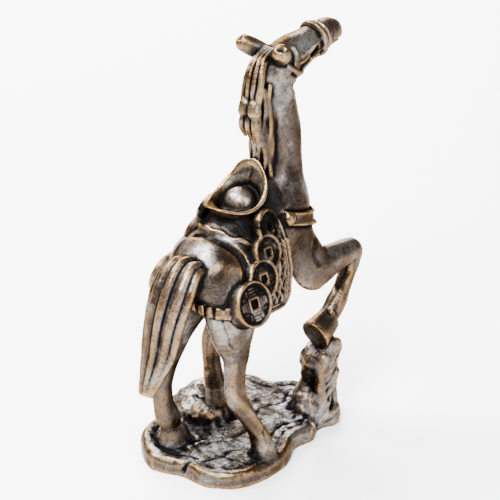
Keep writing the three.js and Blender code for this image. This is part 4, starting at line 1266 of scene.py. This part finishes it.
def aged_brass():
    """Satin brass: brown-grey skin, golden where it is worn, painted shade nearly black in recesses, and
    black patina on the coins and the cloth.
    """
    shader = Shader("aged_brass")
    surface = shader.surface.inputs
    plate = shader.attribute("plate")
    mottle = shader.noise(240.0, 6.0, 0.7)
    crust = shader.noise(1000.0, 5.0, 0.8)
    speck = shader.noise(2300.0, 3.0, 0.7)
    uneven = shader.spread(mottle, 0.3, 0.7, -0.04, 0.04)
    crowding_here = shader.maths("ADD", shader.attribute("near_crowding"), uneven)
    # Painted shade: nearly black where the space round a point is crowded, in recesses and creases
    hollow = shader.spread(crowding_here, 0.51, 0.585)
    deep = shader.spread(shader.attribute("wide_crowding"), 0.54, 0.68)
    dark = shader.maths("MAXIMUM", hollow, deep)
    dark = shader.maths("MAXIMUM", dark, shader.attribute("patina_and_shade"))
    brass = shader.mix(shader.spread(mottle, 0.35, 0.65), BRASS_DULL, BRASS_BRIGHT)
    golden = golden_share(shader, crowding_here)
    colour = shader.mix(golden, skin_colour(shader, mottle), brass)
    colour = rock_colour(shader, mottle, crust, plate, colour)
    colour = shader.mix(shader.spread(speck, 0.5, 0.68, 0.0, 0.8), colour, PIT_BLACK)
    colour = shader.mix(dark, colour, SHADE_AND_PATINA_BLACK)
    smoothness = shader.spread(mottle, 0.3, 0.7, 0.20, 0.36)
    rough = shader.maths("ADD", smoothness, shader.maths("MULTIPLY", dark, 0.3))
    shader.link(colour, surface["Base Color"])
    shader.link(rough, surface["Roughness"])
    surface["Metallic"].default_value = 1.0
    surface["Specular Tint"].default_value = EDGE_TINT
    add_grain(shader, mottle, crust, speck, plate)
    return shader.material


def dress():
    piece = make_statuette()
    piece.data.materials.clear()
    piece.data.materials.append(aged_brass())
    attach(piece, "root")
    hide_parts("horse_statuette")


def make_floor():
    bpy.ops.mesh.primitive_plane_add(size=4.0, location=(0, 0, 0))
    floor = bpy.context.object
    floor.name = "floor"
    shader = Shader("pale_floor")
    shader.surface.inputs["Base Color"].default_value = (0.93, 0.93, 0.93, 1)
    shader.surface.inputs["Roughness"].default_value = 0.6
    floor.data.materials.append(shader.material)


def make_light(name, place, size, power):
    """A soft rectangular light aimed at the middle of the statuette."""
    light = bpy.data.lights.new(name, "AREA")
    light.shape = "RECTANGLE"
    light.size, light.size_y = size
    light.energy = power
    lamp = bpy.data.objects.new(name, light)
    bpy.context.scene.collection.objects.link(lamp)
    lamp.location = place
    lamp.rotation_euler = (LIGHT_TARGET - Vector(place)).to_track_quat("-Z", "Y").to_euler()


def make_world():
    world = bpy.data.worlds.new("studio")
    world.use_nodes = True
    background = world.node_tree.nodes["Background"].inputs
    background["Color"].default_value = (1, 1, 1, 1)
    background["Strength"].default_value = 0.7
    bpy.context.scene.world = world


LIGHT_TARGET = Vector((0, 0, 0.035))
CAMERA_AZIMUTH = math.radians(-50)
CAMERA_ELEVATION = math.radians(25)
CAMERA_DISTANCE = 0.4
CAMERA_TARGET = Vector((0.0048, 0.00594, 0.0329))
CAMERA_LENS = 169.0


def camera_back():
    level = math.cos(CAMERA_ELEVATION)
    return Vector((math.sin(CAMERA_AZIMUTH) * level, -math.cos(CAMERA_AZIMUTH) * level,
                   math.sin(CAMERA_ELEVATION)))


def make_camera():
    camera = bpy.data.objects.new("camera", bpy.data.cameras.new("camera"))
    camera.data.lens = CAMERA_LENS
    camera.data.sensor_width = 36.0
    camera.data.clip_start = 0.01
    back = camera_back()
    camera.location = CAMERA_TARGET + back * CAMERA_DISTANCE
    camera.rotation_euler = back.to_track_quat("Z", "Y").to_euler()
    bpy.context.scene.collection.objects.link(camera)
    bpy.context.scene.camera = camera


def make_lights():
    make_light("key", (-0.30, -0.10, 0.42), (0.16, 0.16), 10.0)
    make_light("fill", (-0.05, -0.45, 0.20), (0.10, 0.30), 2.5)
    make_light("back", (0.26, 0.28, 0.24), (0.30, 0.22), 8.0)
    make_light("top", (-0.12, 0.26, 0.40), (0.24, 0.24), 8.0)


make_camera()
make_world()
make_floor()
make_lights()
dress()
